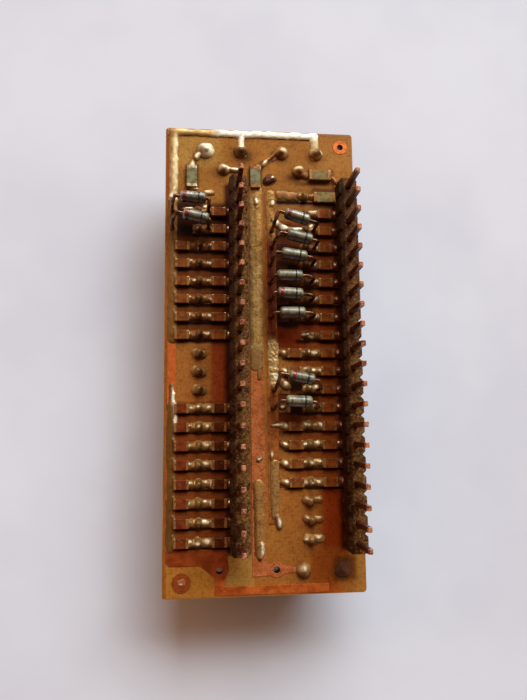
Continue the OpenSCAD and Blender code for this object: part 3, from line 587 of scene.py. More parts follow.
# Nodes, their material and the width of their bevel
DRESS = [
    (["board"], board_material(), 0.08),
    (["left_bus"], copper_material("left_copper", lin(196, 98, 42), lin(176, 82, 30), 0.12), 0.03),
    (["top_bus"], land_material("tinned_bus", lin(214, 178, 112), lin(160, 112, 56)), 0.03),
    (["wide_centre_bus"], copper_material("pitted_copper", lin(190, 104, 58), lin(164, 84, 38), 0.9), 0.03),
    (["slim_centre_bus"], copper_material("brown_copper", lin(170, 94, 40), lin(132, 66, 26), 0.5), 0.03),
    (["bottom_land"], bottom_land_material(), 0.03),
    (pair("row_lands") + ["lead_lands"],
     land_material("tinned_land", lin(138, 86, 38), lin(98, 50, 18)), 0.03),
    (pair("header_strip"), strip_material(), 0.08),
    (pair("header_pins"), pin_material(), 0.05),
    (["device_body"], mould_material("moulded_epoxy", lin(34, 33, 33), lin(58, 56, 54)), 0.12),
    (["socket_frame"], mould_material("socket_plastic", lin(26, 25, 26), lin(46, 44, 42)), 0.08),
    (pair("transistor"), mould_material("transistor_epoxy", lin(30, 30, 31), lin(56, 55, 54)), 0.15),
    (["disc_capacitor"], mould_material("dipped_coating", lin(196, 132, 58), lin(168, 104, 40)), 0.3),
    (pair("device_leads"), TIN, 0.04),
    (pair("transistor_leads") + ["capacitor_leads"], TIN, 0),
    (pair("socket_contacts"), metal_material("contact_plate", lin(224, 190, 110), lin(170, 130, 62)), 0),
    (pair("bus_resistors"),
     chip_material("maroon_chip", lin(134, 74, 30), lin(124, 54, 24), lin(190, 124, 74)), 0.06),
    (pair("series_resistors"),
     chip_material("dark_chip", lin(146, 76, 26), lin(92, 40, 13), lin(176, 106, 54)), 0.06),
    (["large_resistors"], chip_material("grey_green_chip", OLIVE, OLIVE, lin(166, 152, 104)), 0.06),
    (pair("bus_resistor_caps", "series_resistor_caps") + ["large_resistor_caps"], cap_material(), 0.06),
]


def dress(name, material, bevel):
    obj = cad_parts[name]
    obj.data.materials.clear()
    obj.data.materials.append(material)
    if bevel:
        weld = obj.modifiers.new("weld", "WELD")
        weld.merge_threshold = 0.0005 * MM
        edge = obj.modifiers.new("bevel", "BEVEL")
        edge.width = bevel * MM
        edge.segments = 3
        edge.limit_method = "ANGLE"
        edge.angle_limit = math.radians(35)


for names, material, bevel in DRESS:
    for name in names:
        dress(name, material, bevel)


# Edges of the large resistors: left, right, bottom and top
LARGE_CHIPS = [
    (-14.9, -13.1, 25.0, 28.7), (-5.8, -3.9, 25.2, 28.6), (2.9, 6.6, 26.6, 28.4), (3.4, 6.8, 23.9, 25.6),
]


# Film of flux and stain on the board's face, under the lands, with painted shade and shadows in its colours
def flux_film():
    f = Field(BOARD[0] + 0.12, BOARD[1] - 0.12, BOARD[2] + 0.12, BOARD[3] - 0.12, FILM_STEP, 11)
    f.h[:] = 0.03 + 0.012 * lumps(f.x, f.y, 1.2, 4)
    f.fill((156, 98, 40))
    # Painted shade among these boxes: the near-black ones under the left diodes (y 17.9 to 23.0) and under
    # the right diodes (y 5.6 to 20.4 and -7.6 to -2.6), and the thin dark line below row 1 on the right (y
    # 23.15 to 23.8)
    each(f.tone,
        (-20, 12, 24, 36, 1.6, (158, 102, 42)), (-20, -10, 28.5, 36, 1.5, (168, 122, 58)),
        (4.6, 12, 28.5, 36, 0.6, (160, 106, 48)), (-16.2, -9, 3, 19.8, 1.0, (108, 58, 24)),
        (-16.2, -12.6, 19.0, 24.4, 1.4, (84, 42, 16)), (-11.2, -9, 19.0, 22.4, 1.0, (112, 62, 26)),
        (-16.2, -9, -25, -5.2, 0.5, (124, 62, 24)), (-16.2, -10.8, -5.4, 2.8, 0.6, (158, 98, 42)),
        (-11.3, -8.6, -5.4, 2.9, 0.8, (140, 62, 24)), (-20, 12, -36, -25.4, 0.6, (156, 94, 38)),
        (-20, -9, -36, -27.0, 0.6, (164, 104, 40)), (-9.2, -5.6, -29.9, -25.9, 0.5, (164, 118, 56)),
        (-9.4, -6.2, -25.8, 26, 0.9, (64, 26, 9)), (-6.4, -5.7, -25.8, 26, 0.3, (136, 80, 32)),
        (-4.2, 7.2, 20.6, 25.6, 1.0, (140, 92, 42)), (-2.2, 0.6, 2, 20.4, 0.9, (110, 56, 19)),
        (-2.0, 3.0, -32, -13.5, 1.2, (158, 96, 40)), (0.2, 7.2, -16.8, 20.8, 0.9, (142, 72, 27)),
        (-1.6, 3.4, 5.6, 20.4, 1.2, (88, 40, 14), 0.85), (-1.9, 7.0, 23.15, 23.8, 0.35, (44, 18, 6), 0.9),
        (-1.8, 6.8, 2.8, 5.6, 0.6, (136, 50, 18), 0.7), (-1.2, 3.4, -7.6, -2.6, 1.2, (80, 36, 13), 0.85),
        (-16.3, -9.0, 17.9, 23.0, 0.7, (46, 21, 8), 0.75), (-3.0, 1.4, -10.4, -2.0, 1.4, (112, 52, 19)),
        (3.6, 7.6, -25.5, -17.0, 1.8, (144, 56, 18)), (2.0, 6.0, -32, -25.5, 1.2, (150, 76, 26)),
        (-1.8, 2.4, 1.8, 5.6, 1.2, (134, 52, 17)), (6.3, 8.0, -25.4, 26, 0.8, (72, 30, 10)),
        (8.0, 12, -36, 27, 0.6, (158, 106, 46)), (-20, -17.25, -36, 34, 0.25, (140, 80, 34)),
        (4.3, 6.4, -32.0, -30.5, 0.6, (170, 80, 28), 0.8), (5.2, 8.3, -29.6, -26.4, 0.8, (96, 54, 22), 0.8),
    )
    for x0, x1, y0, y1 in LARGE_CHIPS:
        f.tone(x0 - 0.1, x1 + 0.1, y0 - 0.15, y1 + 0.1, 0.4, (92, 52, 19), 0.85)
    # Painted shadow: a thin near-black line below each row, the shade cast by the row's solder and chips,
    # together with dark flux in the gap
    for k in range(1, ROWS + 1):
        y = row_y(k) - 0.80 + 0.09 * noise(f.x, f.y * 0, 1.6, 70 + k) + (0.05 if k == 1 else 0)
        row_shadow = np.exp(-((f.y - y) / (0.3 if k <= 9 else 0.2)) ** 4)
        if k in SERIES_ROWS_LEFT:
            start = -15.9 if k in BUS_ROWS_LEFT else -13.9
            f.paint(row_shadow * f.area(start, -8.8, -40, 40, 0.4), (22, 8, 3), 0.95)
        if k <= 17:
            start = -1.8 if k == 1 else -1.4 if k in BUS_ROWS_RIGHT else 0.6
            f.paint(row_shadow * f.area(start, 7.4, -40, 40, 0.5), (22, 8, 3), 0.92)
    # Painted shade: darker patches down and to the left of the lead joints, on the shaded sides of the joints
    # and the via, and just below a large resistor on the right
    for x, y, r in LEAD_JOINTS:
        f.stain(x - 0.4, y - 0.5, r * 1.15, r, (96, 54, 20), 0.75)
    for x, y, rx, ry in (
        (-2.9, 26.4, 0.9, 0.5), (0.8, 27.1, 1.2, 0.6), (-6.4, 30.2, 1.3, 1.0), (-1.7, 30.4, 0.7, 0.6),
        (3.6, 26.3, 3.0, 0.3),
    ):
        f.stain(x, y, rx, ry, (66, 30, 10), 0.85)
    for side, x in enumerate(DEVICE_X):
        for k in (10, 11, 12) if side == 0 else (18, 19, 20):
            f.stain(x, row_y(k) - 0.5, 1.1, 0.9, (104, 60, 24), 0.7)
    # Painted shadow: a near-black patch just below each diode
    for node in DIODES:
        c = middle(node)
        f.paint(1.5 * f.spot(c[0] - 0.4, c[1] - 1.0, 2.4, 0.75), (16, 6, 2), 0.95)
    f.rgb *= (1 + 0.16 * lumps(f.x, f.y, 3.5, 21) + 0.08 * lumps(f.x, f.y, 0.6, 31))[..., None]
    f.soil(0.45, 0.4, 2.2, 41)
    keep = np.ones(f.x.shape, bool)
    for x, y in HOLES:
        keep &= np.hypot(f.x - x, f.y - y) > HOLE_R + 0.12
    for side in (0, 1):
        for k in range(1, ROWS + 1):
            keep &= np.hypot(f.x - HEADER_X[side], f.y - row_y(k)) > 0.3
    f.build("flux_film", FACE, keep, film_material(), "board")


# Solder along the buses: uneven, with drops where it ends, and painted highlights
def bus_solder():
    f = Field(BOARD[0] + 0.1, 4.6, -27.0, BOARD[3] - 0.1, BUS_STEP, 101)
    f.fill((146, 102, 50))
    left = -16.75
    each(f.bead,
        (left + 0.08, -24.8, left + 0.08, -6, 0.58, 0.16), (left + 0.1, -6, left + 0.05, -3.2, 0.34, 0.14),
        (left + 0.3, -4.4, left + 0.75, -9.0, 0.34, 0.22),
        (left + 0.08, 3.2, left + 0.08, 23.4, 0.62, 0.18),
        (left + 0.18, 24.3, left + 0.18, 33.2, 0.6, 0.26, 0.5),
        (left - 0.1, 23.7, left + 0.15, 24.8, 0.42, 0.36),
    )
    top = 33.6
    each(f.bead,
        (-17.0, top, 4.1, top, 0.52, 0.26, 0.5), (-6.8, top, -6.85, 31.2, 0.42, 0.3),
        (3.9, top, 3.95, 31.7, 0.6, 0.26),
    )
    wide = -4.9
    each(f.bead,
        (wide, -0.4, wide, 25.0, 0.92, 0.14, 0.45), (wide + 0.2, 3.0, wide + 0.2, 24.4, 0.45, 0.2),
        (wide + 0.1, 23.0, wide + 0.1, 24.0, 0.4, 0.34), (wide + 0.35, -2.2, wide + 0.3, 1.0, 0.34, 0.14),
        (wide + 0.1, -25.6, wide, -16.7, 0.74, 0.18, 0.5), (-4.75, -26.2, -4.5, -24.6, 0.46, 0.45),
    )
    slim = -2.75
    each(f.bead,
        (slim, 19.6, slim, 24.6, 0.64, 0.16), (slim, -1.5, slim, 19.6, 0.6, 0.12),
        (slim + 0.2, -3.0, slim + 0.25, 2.6, 0.62, 0.22), (slim + 0.25, 22.9, slim + 0.3, 23.7, 0.4, 0.34),
        (slim + 0.15, -20.8, slim + 0.1, -13.9, 0.62, 0.2, 0.5),
        (slim - 0.25, -13.2, slim - 0.25, -12.5, 0.3, 0.34), (-2.1, -22.3, -2.35, -21.0, 0.42, 0.42),
        (wide, -13.4, wide + 0.4, -13.2, 0.3, 0.3), (-2.9, -8.75, -1.4, -8.7, 0.24, 0.26),
    )
    for k in BUS_ROWS_LEFT:
        y = row_y(k)
        f.bead(-16.4, y + 0.9, -15.95, y - 0.2, 0.2, 0.26)
    n = lumps(f.x, f.y, 1.2, 120)
    for k in BUS_ROWS_RIGHT:
        y = row_y(k)
        f.bead(-1.5, y + 0.1, -0.8, y - 0.1, 0.52, 0.42)
        f.meniscus(-0.7, y, -1, 0.5, 1.2, 0.5)
    crumbs = f.area(-6, -1.8, -27, 25, 1.0)
    rough = f.area(-3.6, -1.6, -3.4, 3.0, 0.8)
    f.h += 0.02 * n + (0.018 * crumbs + 0.07 * rough) * noise(f.x, f.y, 0.25, 130)
    # The dark red-brown box on the slim bus beside the right diodes (y 3.6 to 18.4) is partly flux colour and
    # partly painted shade from the diodes
    each(f.tone,
        (-18, -16, 2.6, 23.6, 0.5, (128, 85, 35)), (-18, -16, -26, -2.6, 0.8, (114, 74, 29)),
        (-18, -15.7, 23.3, 33.5, 0.3, (228, 200, 146)), (-18, -16.7, 23.3, 33.5, 0.3, (190, 152, 94)),
        (-18, -9.5, 33.0, 36, 1.0, (210, 170, 104)), (-18, -16.4, 32.6, 36, 0.8, (168, 122, 62)),
        (-10.5, 5, 31, 36, 2.0, (255, 248, 222)), (3.2, 4.8, 30.4, 33.0, 0.6, (208, 178, 126)),
        (-6, -1.8, 14, 26, 3.0, (166, 118, 50)), (-6, -3.6, 2.0, 14, 2.0, (192, 146, 80)),
        (-6, -5.3, 2.5, 26, 0.4, (144, 108, 58)), (-3.8, -1.8, 3.6, 18.4, 2.0, (122, 42, 4)),
        (-3.8, -1.8, 17.6, 22.6, 1.0, (158, 104, 40), 0.8), (-3.6, -1.6, -3.4, 3.0, 0.8, (204, 164, 104)),
        (-6, -4.0, -27, -14, 0.8, (172, 120, 60)), (-6, -5.2, -27, -14, 0.3, (132, 84, 38)),
        (-3.6, -1.6, -21.2, -12.0, 0.6, (164, 116, 62)),
    )
    # Painted highlights on the bus solder, from here on
    for k in BUS_ROWS_LEFT:
        y = row_y(k)
        f.paint_highlight(-16.1, y + 0.2, 0.16, 0.55, (246, 216, 158))
    for k in BUS_ROWS_RIGHT:
        y = row_y(k)
        f.tone(-1.9, -0.3, y - 0.8, y + 0.8, 0.4, (150, 102, 52))
        f.paint_highlight(-1.25 + 0.1 * (k % 3), y + 0.15, 0.26, 0.3, (222, 184, 132), 0.6)
    for x, y in ((-4.7, 23.4), (-2.45, 23.2)):
        f.paint_highlight(x, y, 0.34, 0.4, (240, 214, 160))
    each(f.paint_highlight,
        (-16.9, 23.9, 0.3, 0.45), (-4.5, -25.2, 0.26, 0.75), (-2.15, -21.7, 0.26, 0.6),
        (-16.4, -4.7, 0.24, 1.5, (236, 222, 184)), (-16.3, -6.3, 0.2, 1.0, (224, 204, 158), 0.8),
        (-16.15, -7.9, 0.26, 1.3, (214, 190, 140), 0.8), (-3.0, -12.7, 0.2, 0.25), (-4.8, -13.3, 0.3, 0.2),
        (-2.2, -8.7, 0.8, 0.14, (226, 160, 108)), (-2.2, -2.0, 0.5, 0.4),
    )
    f.stain(-5.0, -26.6, 0.5, 0.35, (60, 34, 14))
    streak = 0.5 + 0.5 * lumps(f.x * 3, f.y, 1.1, 150)
    f.rgb *= (1 - 0.34 * np.clip(streak * 2 - 0.7, 0, 1) * f.area(-18, -15.7, 23.3, 33, 0.4))[..., None]
    cloud = np.clip(2 * noise(f.x, f.y * 2, 1.3, 151), 0, 1)
    f.rgb *= (1 - 0.3 * f.area(-17.4, -9, 33, 36, 1.5) * cloud)[..., None]
    f.soil(0.28, 0.3, 1.2, 120)
    f.polish(f.area(-12, 5, 31, 36, 1.0), 0.12)
    f.polish(f.area(-18, -16, 23.3, 36, 0.5), 0.2)
    f.polish(f.area(-3.8, -1.8, 3.6, 18.4, 2.0), 0.05)
    pitted = f.area(-6, -1.8, -27, 25, 1.0) * (0.75 + 0.25 * n)
    f.build_solder("bus_tinning_lumps", "bus_tinning", pitted=pitted)


# Painted highlights on the rows' solder: device row, x and y from the row's middle, half width and half
# height
PAINTED_HIGHLIGHTS_LEFT = [
    (3, -14.2, 0.0, 0.25, 0.2), (3, -13.2, -0.1, 0.2, 0.15), (3, -10.9, 0.1, 0.25, 0.3),
    (4, -11.2, 0.2, 0.35, 0.2), (4, -10.9, -0.3, 0.12, 0.2), (4, -13.1, -0.5, 0.15, 0.12),
    (5, -14.1, 0.4, 0.25, 0.15), (5, -11.4, 0.1, 0.45, 0.2),
    (6, -14.4, 0.2, 0.2, 0.35), (6, -13.6, 0.1, 0.3, 0.12), (6, -11.5, 0.1, 0.4, 0.2),
    (7, -14.3, 0.3, 0.25, 0.2), (7, -11.3, 0.0, 0.4, 0.22),
    (8, -14.4, 0.35, 0.4, 0.3), (8, -11.5, 0.2, 0.3, 0.2),
    (9, -14.5, 0.3, 0.4, 0.3), (9, -11.8, 0.2, 0.35, 0.2),
    (13, -14.0, 0.1, 0.2, 0.15), (13, -13.1, 0.25, 0.3, 0.22), (13, -11.6, 0.15, 0.3, 0.2),
    (14, -14.4, 0.2, 0.35, 0.22), (14, -13.0, 0.1, 0.18, 0.12), (14, -11.8, 0.2, 0.25, 0.2),
    (15, -14.4, 0.15, 0.4, 0.22), (15, -11.9, 0.15, 0.4, 0.2),
    (16, -14.4, 0.2, 0.4, 0.25), (16, -12.0, 0.2, 0.35, 0.22), (16, -11.1, 0.1, 0.1, 0.5),
    (17, -14.2, 0.2, 0.35, 0.2), (17, -12.0, 0.3, 0.25, 0.18), (17, -11.4, 0.1, 0.12, 0.4),
    (18, -14.4, 0.15, 0.3, 0.22), (18, -12.1, 0.35, 0.3, 0.2), (18, -11.4, 0.1, 0.15, 0.35),
    (19, -14.5, 0.3, 0.2, 0.2), (19, -12.1, 0.2, 0.6, 0.4),
    (20, -14.2, 0.2, 0.3, 0.22), (20, -13.1, 0.0, 0.5, 0.25), (20, -11.8, 0.15, 0.55, 0.35),
]
PAINTED_HIGHLIGHTS_RIGHT = [
    (1, 3.4, 0.7, 0.4, 0.3), (2, 3.4, 0.5, 0.7, 0.3), (2, 4.1, 0.6, 0.4, 0.35), (3, 3.6, 0.6, 0.3, 0.25),
    (4, 3.9, 0.1, 0.14, 0.45), (5, 3.4, 0.2, 0.5, 0.4), (6, 3.6, 0.3, 0.5, 0.4), (7, 3.5, 0.2, 0.5, 0.4),
    (8, 3.6, 0.2, 0.5, 0.4), (9, 1.8, 0.1, 0.6, 0.25), (9, 2.6, -0.3, 0.5, 0.22),
    (10, 1.0, 0.1, 0.25, 0.3), (10, 2.4, 0.3, 0.2, 0.3), (10, 3.2, 0.0, 0.35, 0.25),
    (11, 1.9, 0.45, 0.3, 0.14), (11, 3.0, 0.2, 0.3, 0.2), (11, 3.9, 0.15, 0.35, 0.2),
    (12, 1.6, 0.4, 0.25, 0.12), (12, 2.4, 0.3, 0.25, 0.12), (12, 3.3, 0.5, 0.25, 0.25),
    (14, 1.9, 0.2, 0.4, 0.35), (14, 3.8, 0.2, 0.35, 0.35),
    (15, 1.5, 0.15, 0.45, 0.25), (15, 3.3, 0.25, 0.3, 0.35),
    (16, 1.4, 0.25, 0.4, 0.2), (16, 2.5, 0.1, 0.35, 0.25), (16, 3.5, 0.25, 0.35, 0.22),
    (17, 1.6, 0.0, 0.4, 0.25), (17, 2.5, -0.1, 0.3, 0.2), (17, 3.4, 0.1, 0.35, 0.2),
    (18, 1.9, 0.35, 0.3, 0.14), (18, 3.4, 0.3, 0.4, 0.12),
    (19, 1.8, 0.35, 0.35, 0.14), (19, 3.2, 0.3, 0.3, 0.12),
    (20, 0.8, 0.4, 0.3, 0.2), (20, 1.5, 0.2, 0.4, 0.2), (20, 3.2, 0.3, 0.4, 0.2),
]


# From the device's leads to the near end of the bus resistors, and to both ends of the series resistors
BUS_GAP = (1.3, 0.9)
SERIES_GAP = 1.8
SERIES_END = 3.8
BUS_ROWS = (BUS_ROWS_LEFT, BUS_ROWS_RIGHT)
SERIES_ROWS = (SERIES_ROWS_LEFT, SERIES_ROWS_RIGHT)


# Solder of the device's rows, between the small resistors and round each lead, with painted highlights and a
# painted shadow below each row
def row_solder(side):
    x = DEVICE_X[side]
    bus_rows, series_rows, gap = BUS_ROWS[side], SERIES_ROWS[side], BUS_GAP[side]
    f = Field(x - 2.2, x + 2.0, row_y(ROWS) - 1.1, row_y(1) + 1.1, JOINT_STEP, 201 + 40 * side)
    f.fill((150, 108, 56))
    f.tone(-20, 12, 2, 23, 1.0, (132, 84, 38))
    rng = np.random.default_rng(300 + side)
    for k in range(1, ROWS + 1):
        y = row_y(k)
        ax, ay = rng.uniform(-0.1, 0.1, 2)
        joined = k in bus_rows or k in series_rows
        if joined:
            first = x - gap + 0.3 if k in bus_rows else x - 0.3
            last = x + SERIES_GAP - 0.3 if k in series_rows else x + 0.3
            f.bead(first, y + ay, last, y - ay, 0.62, rng.uniform(0.3, 0.42))
            if k in bus_rows:
                f.bead(x - gap + 0.35, y + 0.12, x - gap + 0.5, y - 0.1, 0.42, 0.5)
                f.meniscus(x - gap, y, 1, 0.5, 1.2, 0.52)
            if k in series_rows:
                f.bead(x + 1.25, y - 0.1, x + 1.35, y + 0.12, 0.4, 0.5)
                f.meniscus(x + SERIES_GAP, y, -1, 0.5, 1.2, 0.52)
            f.fillet(x, y, 0.8, 0.95, 0.22)
        elif side == 0:
            f.bead(x - 0.35, y + 0.1, x + 0.35, y - 0.1, 0.72, 0.22)
        else:
            f.bead(x - 0.6, y + 0.2, x - 0.2, y + 0.15, 0.6, 0.4)
            f.bead(x + 0.5, y + 0.2, x + 1.3, y + 0.2, 0.5, 0.3)
        f.bead(x - 0.02, y - 0.14, x + 0.02, y + 0.14, 0.54, 0.92, 0.7)
        centre = (64, 36, 14) if k <= 9 else (112, 76, 36) if joined else (84, 50, 20)
        f.stain(x + 0.15, y - 0.15, 0.6, 0.5, centre, 0.85)
        # Painted shadow: a dark band just below each row's solder
        f.tone(x - 3, x + 3, y - 1.1, y - 0.45, 0.3, (70, 32, 12), 0.8)
        if k in (18, 19, 20) and side == 1:
            pale = (178, 132, 80) if k == ROWS else (156, 106, 56)
            f.tone(x - 3, x + 3, y - 1, y + 1, 0.4, pale, 0.9)
            # Painted shade on the lower side of these blobs
            f.stain(x - 0.1, y - 0.45, 1.1, 0.4, (96, 54, 24), 0.7)
    f.roughen(0.035, 0.9, 220 + side)
    f.soil(0.35, 0.4, 0.9, 240 + side)
    # Painted highlights, weaker in rows 5 to 8, 18 and 19 on the right
    for k, gx, dy, rx, ry in (PAINTED_HIGHLIGHTS_LEFT, PAINTED_HIGHLIGHTS_RIGHT)[side]:
        highlight_share = 1.0 if k not in (5, 6, 7, 8, 18, 19) or side == 0 else 0.45
        f.paint_highlight(gx, row_y(k) + dy, rx * 0.9, ry * 0.9, (244, 216, 164), highlight_share * 0.9)
    f.build_solder("row_solder_lumps_" + SIDES[side], "row_solder_" + SIDES[side])


# Solder of the header pins, drawn up the pins and to the series resistors, with a painted shadow below each
# row and painted highlights
def header_solder(side):
    x = HEADER_X[side]
    start = DEVICE_X[side] + SERIES_END
    f = Field(start - 0.3, x + 1.1, row_y(ROWS) - 1.1, row_y(1) + 1.1, JOINT_STEP, 401 + 40 * side)
    f.fill((124, 62, 26))
    rng = np.random.default_rng(500 + side)
    for k in range(1, ROWS + 1):
        y = row_y(k)
        if k in SERIES_ROWS[side]:
            f.bead(start + 0.4, y + rng.uniform(-0.1, 0.1), x, y, 0.6, rng.uniform(0.28, 0.42))
            f.meniscus(start, y, 1, 0.5, 1.2, 0.52)
        f.fillet(x, y, 0.82, 1.15, 0.36)
        f.tone(start - 1, start + 0.6, y - 1, y + 1, 0.4, (128, 58, 22), 0.8)
        # Painted shadow: a dark band just below each row
        f.tone(start - 1, x + 2, y - 1.1, y - 0.45, 0.3, (60, 25, 9), 0.8)
        # Painted highlight near the series resistor's end
        highlight_x = start + rng.uniform(0.25, 0.7)
        if k % 3 != 1 or side == 1:
            f.paint_highlight(highlight_x, y + 0.2, 0.13, 0.2, (246, 190, 150), 0.8)
    f.roughen(0.04, 0.6, 420 + side)
    f.soil(0.3, 0.4, 0.8, 440 + side)
    f.build_solder("header_solder_lumps_" + SIDES[side], "header_solder_" + SIDES[side])


# A joint of a single lead: a low dome, and a bump over the lead's tip
def lead_joint(f, x, y, r, h):
    f.bead(x, y, x, y, r, h, 0.75)
    f.bead(x, y, x, y, 0.62, 0.95, 0.6)


# Joints of the parts at the top, with the drops along their traces
def top_solder():
    f = Field(BOARD[0] + 0.1, 9.4, 23.0, 33.0, JOINT_STEP, 601)
    f.fill((146, 98, 46))
    for n, (x, y, r) in enumerate(LEAD_JOINTS[:6]):
        lead_joint(f, x, y, r, 0.72 if n == 1 else 0.6)
    each(f.bead,
        (-13.5, 29.7, -13.1, 30.2, 0.42, 0.42), (-14.0, 28.7, -14.0, 29.0, 0.42, 0.45),
        (-9.0, 28.2, -7.3, 28.0, 0.36, 0.36), (-3.9, 28.8, -1.6, 31.2, 0.26, 0.34),
        (-3.8, 28.9, -3.0, 29.8, 0.34, 0.4), (2.2, 27.6, 2.7, 27.5, 0.5, 0.34),
        (6.5, 27.1, 6.8, 26.7, 0.4, 0.36), (-13.9, 25.0, -13.3, 24.9, 0.4, 0.34),
        (-12.0, 24.5, -11.2, 24.6, 0.42, 0.16), (-4.5, 28.6, -4.4, 28.5, 0.5, 0.42),
        (3.1, 24.3, 3.7, 24.4, 0.5, 0.4), (-1.4, 24.5, 1.2, 24.3, 0.6, 0.1),
        (VIA[0] - 0.5, VIA[1] - 0.35, VIA[0] + 0.4, VIA[1] + 0.1, 0.6, 0.34),
    )
    f.roughen(0.04, 0.9, 620)
    f.soil(0.3, 0.3, 0.9, 640)
    # Painted highlights and reflections: the near-white paint on the large joint at the top left, and the
    # pale spots painted on the joints and the via below
    f.paint(2 * f.spot(-11.6, 31.0, 1.0), (222, 212, 188))
    each(f.paint_highlight,
        (-11.7, 31.0, 1.0, 0.9, (242, 232, 208), 0.6), (-9.4, 28.2, 0.9, 0.6, (228, 206, 166), 0.6),
        (-12.0, 31.5, 0.8, 0.4, (255, 253, 246)), (-11.2, 30.7, 0.4, 0.9, (255, 250, 236)),
    )
    f.stain(-12.7, 30.8, 0.35, 0.5, (120, 92, 60), 0.9)
    each(f.paint_highlight,
        (-13.3, 29.9, 0.42, 0.5, (252, 240, 206)), (-14.0, 28.6, 0.5, 0.5, (226, 212, 166)),
        (-9.2, 28.3, 0.75, 0.4, (254, 252, 240)), (-7.7, 28.1, 0.8, 0.3, (246, 226, 184)),
    )
    # Painted shade below the joint at (-9.5, 28.1)
    f.stain(-9.7, 27.4, 0.9, 0.4, (84, 46, 18), 0.9)
    f.paint_highlight(-0.8, 31.2, 0.55, 0.5, (206, 190, 144), 0.7)
    # Painted shade on the lower left side of the joint at (-0.99, 30.9)
    f.stain(-1.6, 30.3, 0.55, 0.6, (84, 48, 19), 0.9)
    each(f.paint_highlight,
        (-3.4, 29.3, 0.34, 0.5, (252, 242, 216)), (-4.2, 28.3, 0.2, 0.3, (240, 220, 180)),
        (1.4, 28.6, 0.8, 0.45, (196, 170, 116), 0.6),
    )
    # Painted shade below the joint at (1.55, 28.1)
    f.stain(1.5, 27.3, 1.2, 0.45, (82, 34, 13), 0.9)
    # Painted shade on the lower side of the joint at (-6.96, 30.9), and a painted highlight on its upper side
    f.stain(-6.8, 30.6, 1.1, 0.8, (78, 50, 22))
    f.paint_highlight(-6.8, 31.6, 0.4, 0.3, (244, 230, 192))
    f.stain(3.5, 31.3, 0.6, 0.8, (184, 156, 106))
    f.stain(4.5, 30.9, 0.4, 0.5, (58, 30, 14))
    each(f.paint_highlight,
        (5.0, 31.2, 0.2, 0.5, (220, 198, 150)), (-13.5, 25.1, 0.4, 0.2, (250, 226, 184)),
        (-11.7, 24.6, 0.6, 0.25, (232, 208, 156), 0.8),
    )
    f.stain(3.3, 24.8, 0.3, 0.3, (56, 26, 10))
    f.tone(-2.0, 2.6, 23.6, 25.2, 0.5, (146, 100, 50))
    f.stain(1.4, 24.4, 0.8, 0.5, (84, 44, 18), 0.9)
    f.stain(-0.9, 24.2, 0.6, 0.4, (108, 66, 30), 0.8)
    f.paint_highlight(3.9, 24.5, 0.4, 0.4, (206, 178, 118), 0.7)
    f.paint(1.6 * f.spot(VIA[0] - 0.2, VIA[1] - 0.2, 1.0, 0.7), (66, 28, 11))
    f.paint_highlight(VIA[0] + 0.35, VIA[1] + 0.3, 0.22, 0.16, (240, 208, 160))
    f.polish(f.area(-2.2, 5.6, 26.5, 32.4, 0.5), 0.0)
    f.polish(f.area(-7.8, -5.8, 29.4, 31.2, 0.5), 0.0)
    f.rgb *= np.array([1.02, 0.97, 0.84])
    f.build_solder("lead_joint_lumps_top", "lead_joints")


# Joints of the parts at the bottom, and the filled hole
def bottom_solder():
    f = Field(-16.6, 8.2, -30.6, -26.6, JOINT_STEP, 701)
    f.fill((150, 106, 56))
    for (x, y, r), h in zip(LEAD_JOINTS[6:], (0.85, 0.6)):
        lead_joint(f, x, y, r, h)
    f.bead(*FILLED_HOLE, *FILLED_HOLE, 0.62, 0.16)
    f.roughen(0.05, 0.7, 720)
    f.soil(0.05, 0.2, 0.9, 740)
    f.paint(2 * f.spot(6.45, -28.1, 1.4), (84, 46, 20))
    f.stain(7.0, -28.4, 0.5, 0.7, (112, 54, 22))
    f.polish(f.area(5, 8.2, -30, -26.6, 0.5), 0.0)
    f.polish(f.area(-0.5, 3, -30, -26.6, 0.5), 0.0)
    # Painted highlight on the joint at (1.15, -28.1) with painted shade on its lower side, then the filled
    # hole's ring and a painted highlight on it
    f.paint_highlight(1.0, -27.7, 0.6, 0.5, (176, 144, 98), 0.3)
    f.stain(0.9, -28.8, 0.9, 0.45, (104, 68, 32))
    f.stain(FILLED_HOLE[0], FILLED_HOLE[1], 1.2, 1.2, (150, 74, 34))
    f.paint_highlight(FILLED_HOLE[0] - 0.1, FILLED_HOLE[1] - 0.1, 0.35, 0.12, (206, 144, 100), 0.7)
    f.build_solder("lead_joint_lumps_bottom")


# Diodes: device row, turn, foot of each lead and whether the left end is red
DIODES = {
    "diode_left_2": (2, -4, -16.7, -11.65, True), "diode_left_3": (3, -12, -16.7, -11.65, True),
    "diode_right_3": (3, -17, -2.6, 3.4, True), "diode_right_4": (4, -13, -2.6, 3.5, False),
    "diode_right_5": (5, -8, -2.9, 3.1, False), "diode_right_6": (6, 0, -2.9, 2.95, False),
    "diode_right_7": (7, -3, -2.9, 2.95, True), "diode_right_8": (8, 0, -2.9, 2.95, False),
    "diode_right_12": (12, -11, -2.6, 3.5, True), "diode_right_13": (13, -3, -2.7, 3.2, False),
}
GLASS_R, GLASS_HALF, WIRE_R = 0.8, 1.8, 0.25
GLASS_SIDES, WIRE_SIDES = 32, 16
PATH_STEP = 0.08
CORNER_TURNS = np.linspace(0, math.pi / 2, 9)


def middle(node):
    lo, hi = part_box(node)
    c = (lo + hi) / 2 / MM
    return np.array([c.x - PLUG_X, c.y - PLUG_Y, c.z])


# Angles of the points of a ring
def circle(sides):
    return np.linspace(0, 2 * math.pi, sides, endpoint=False)


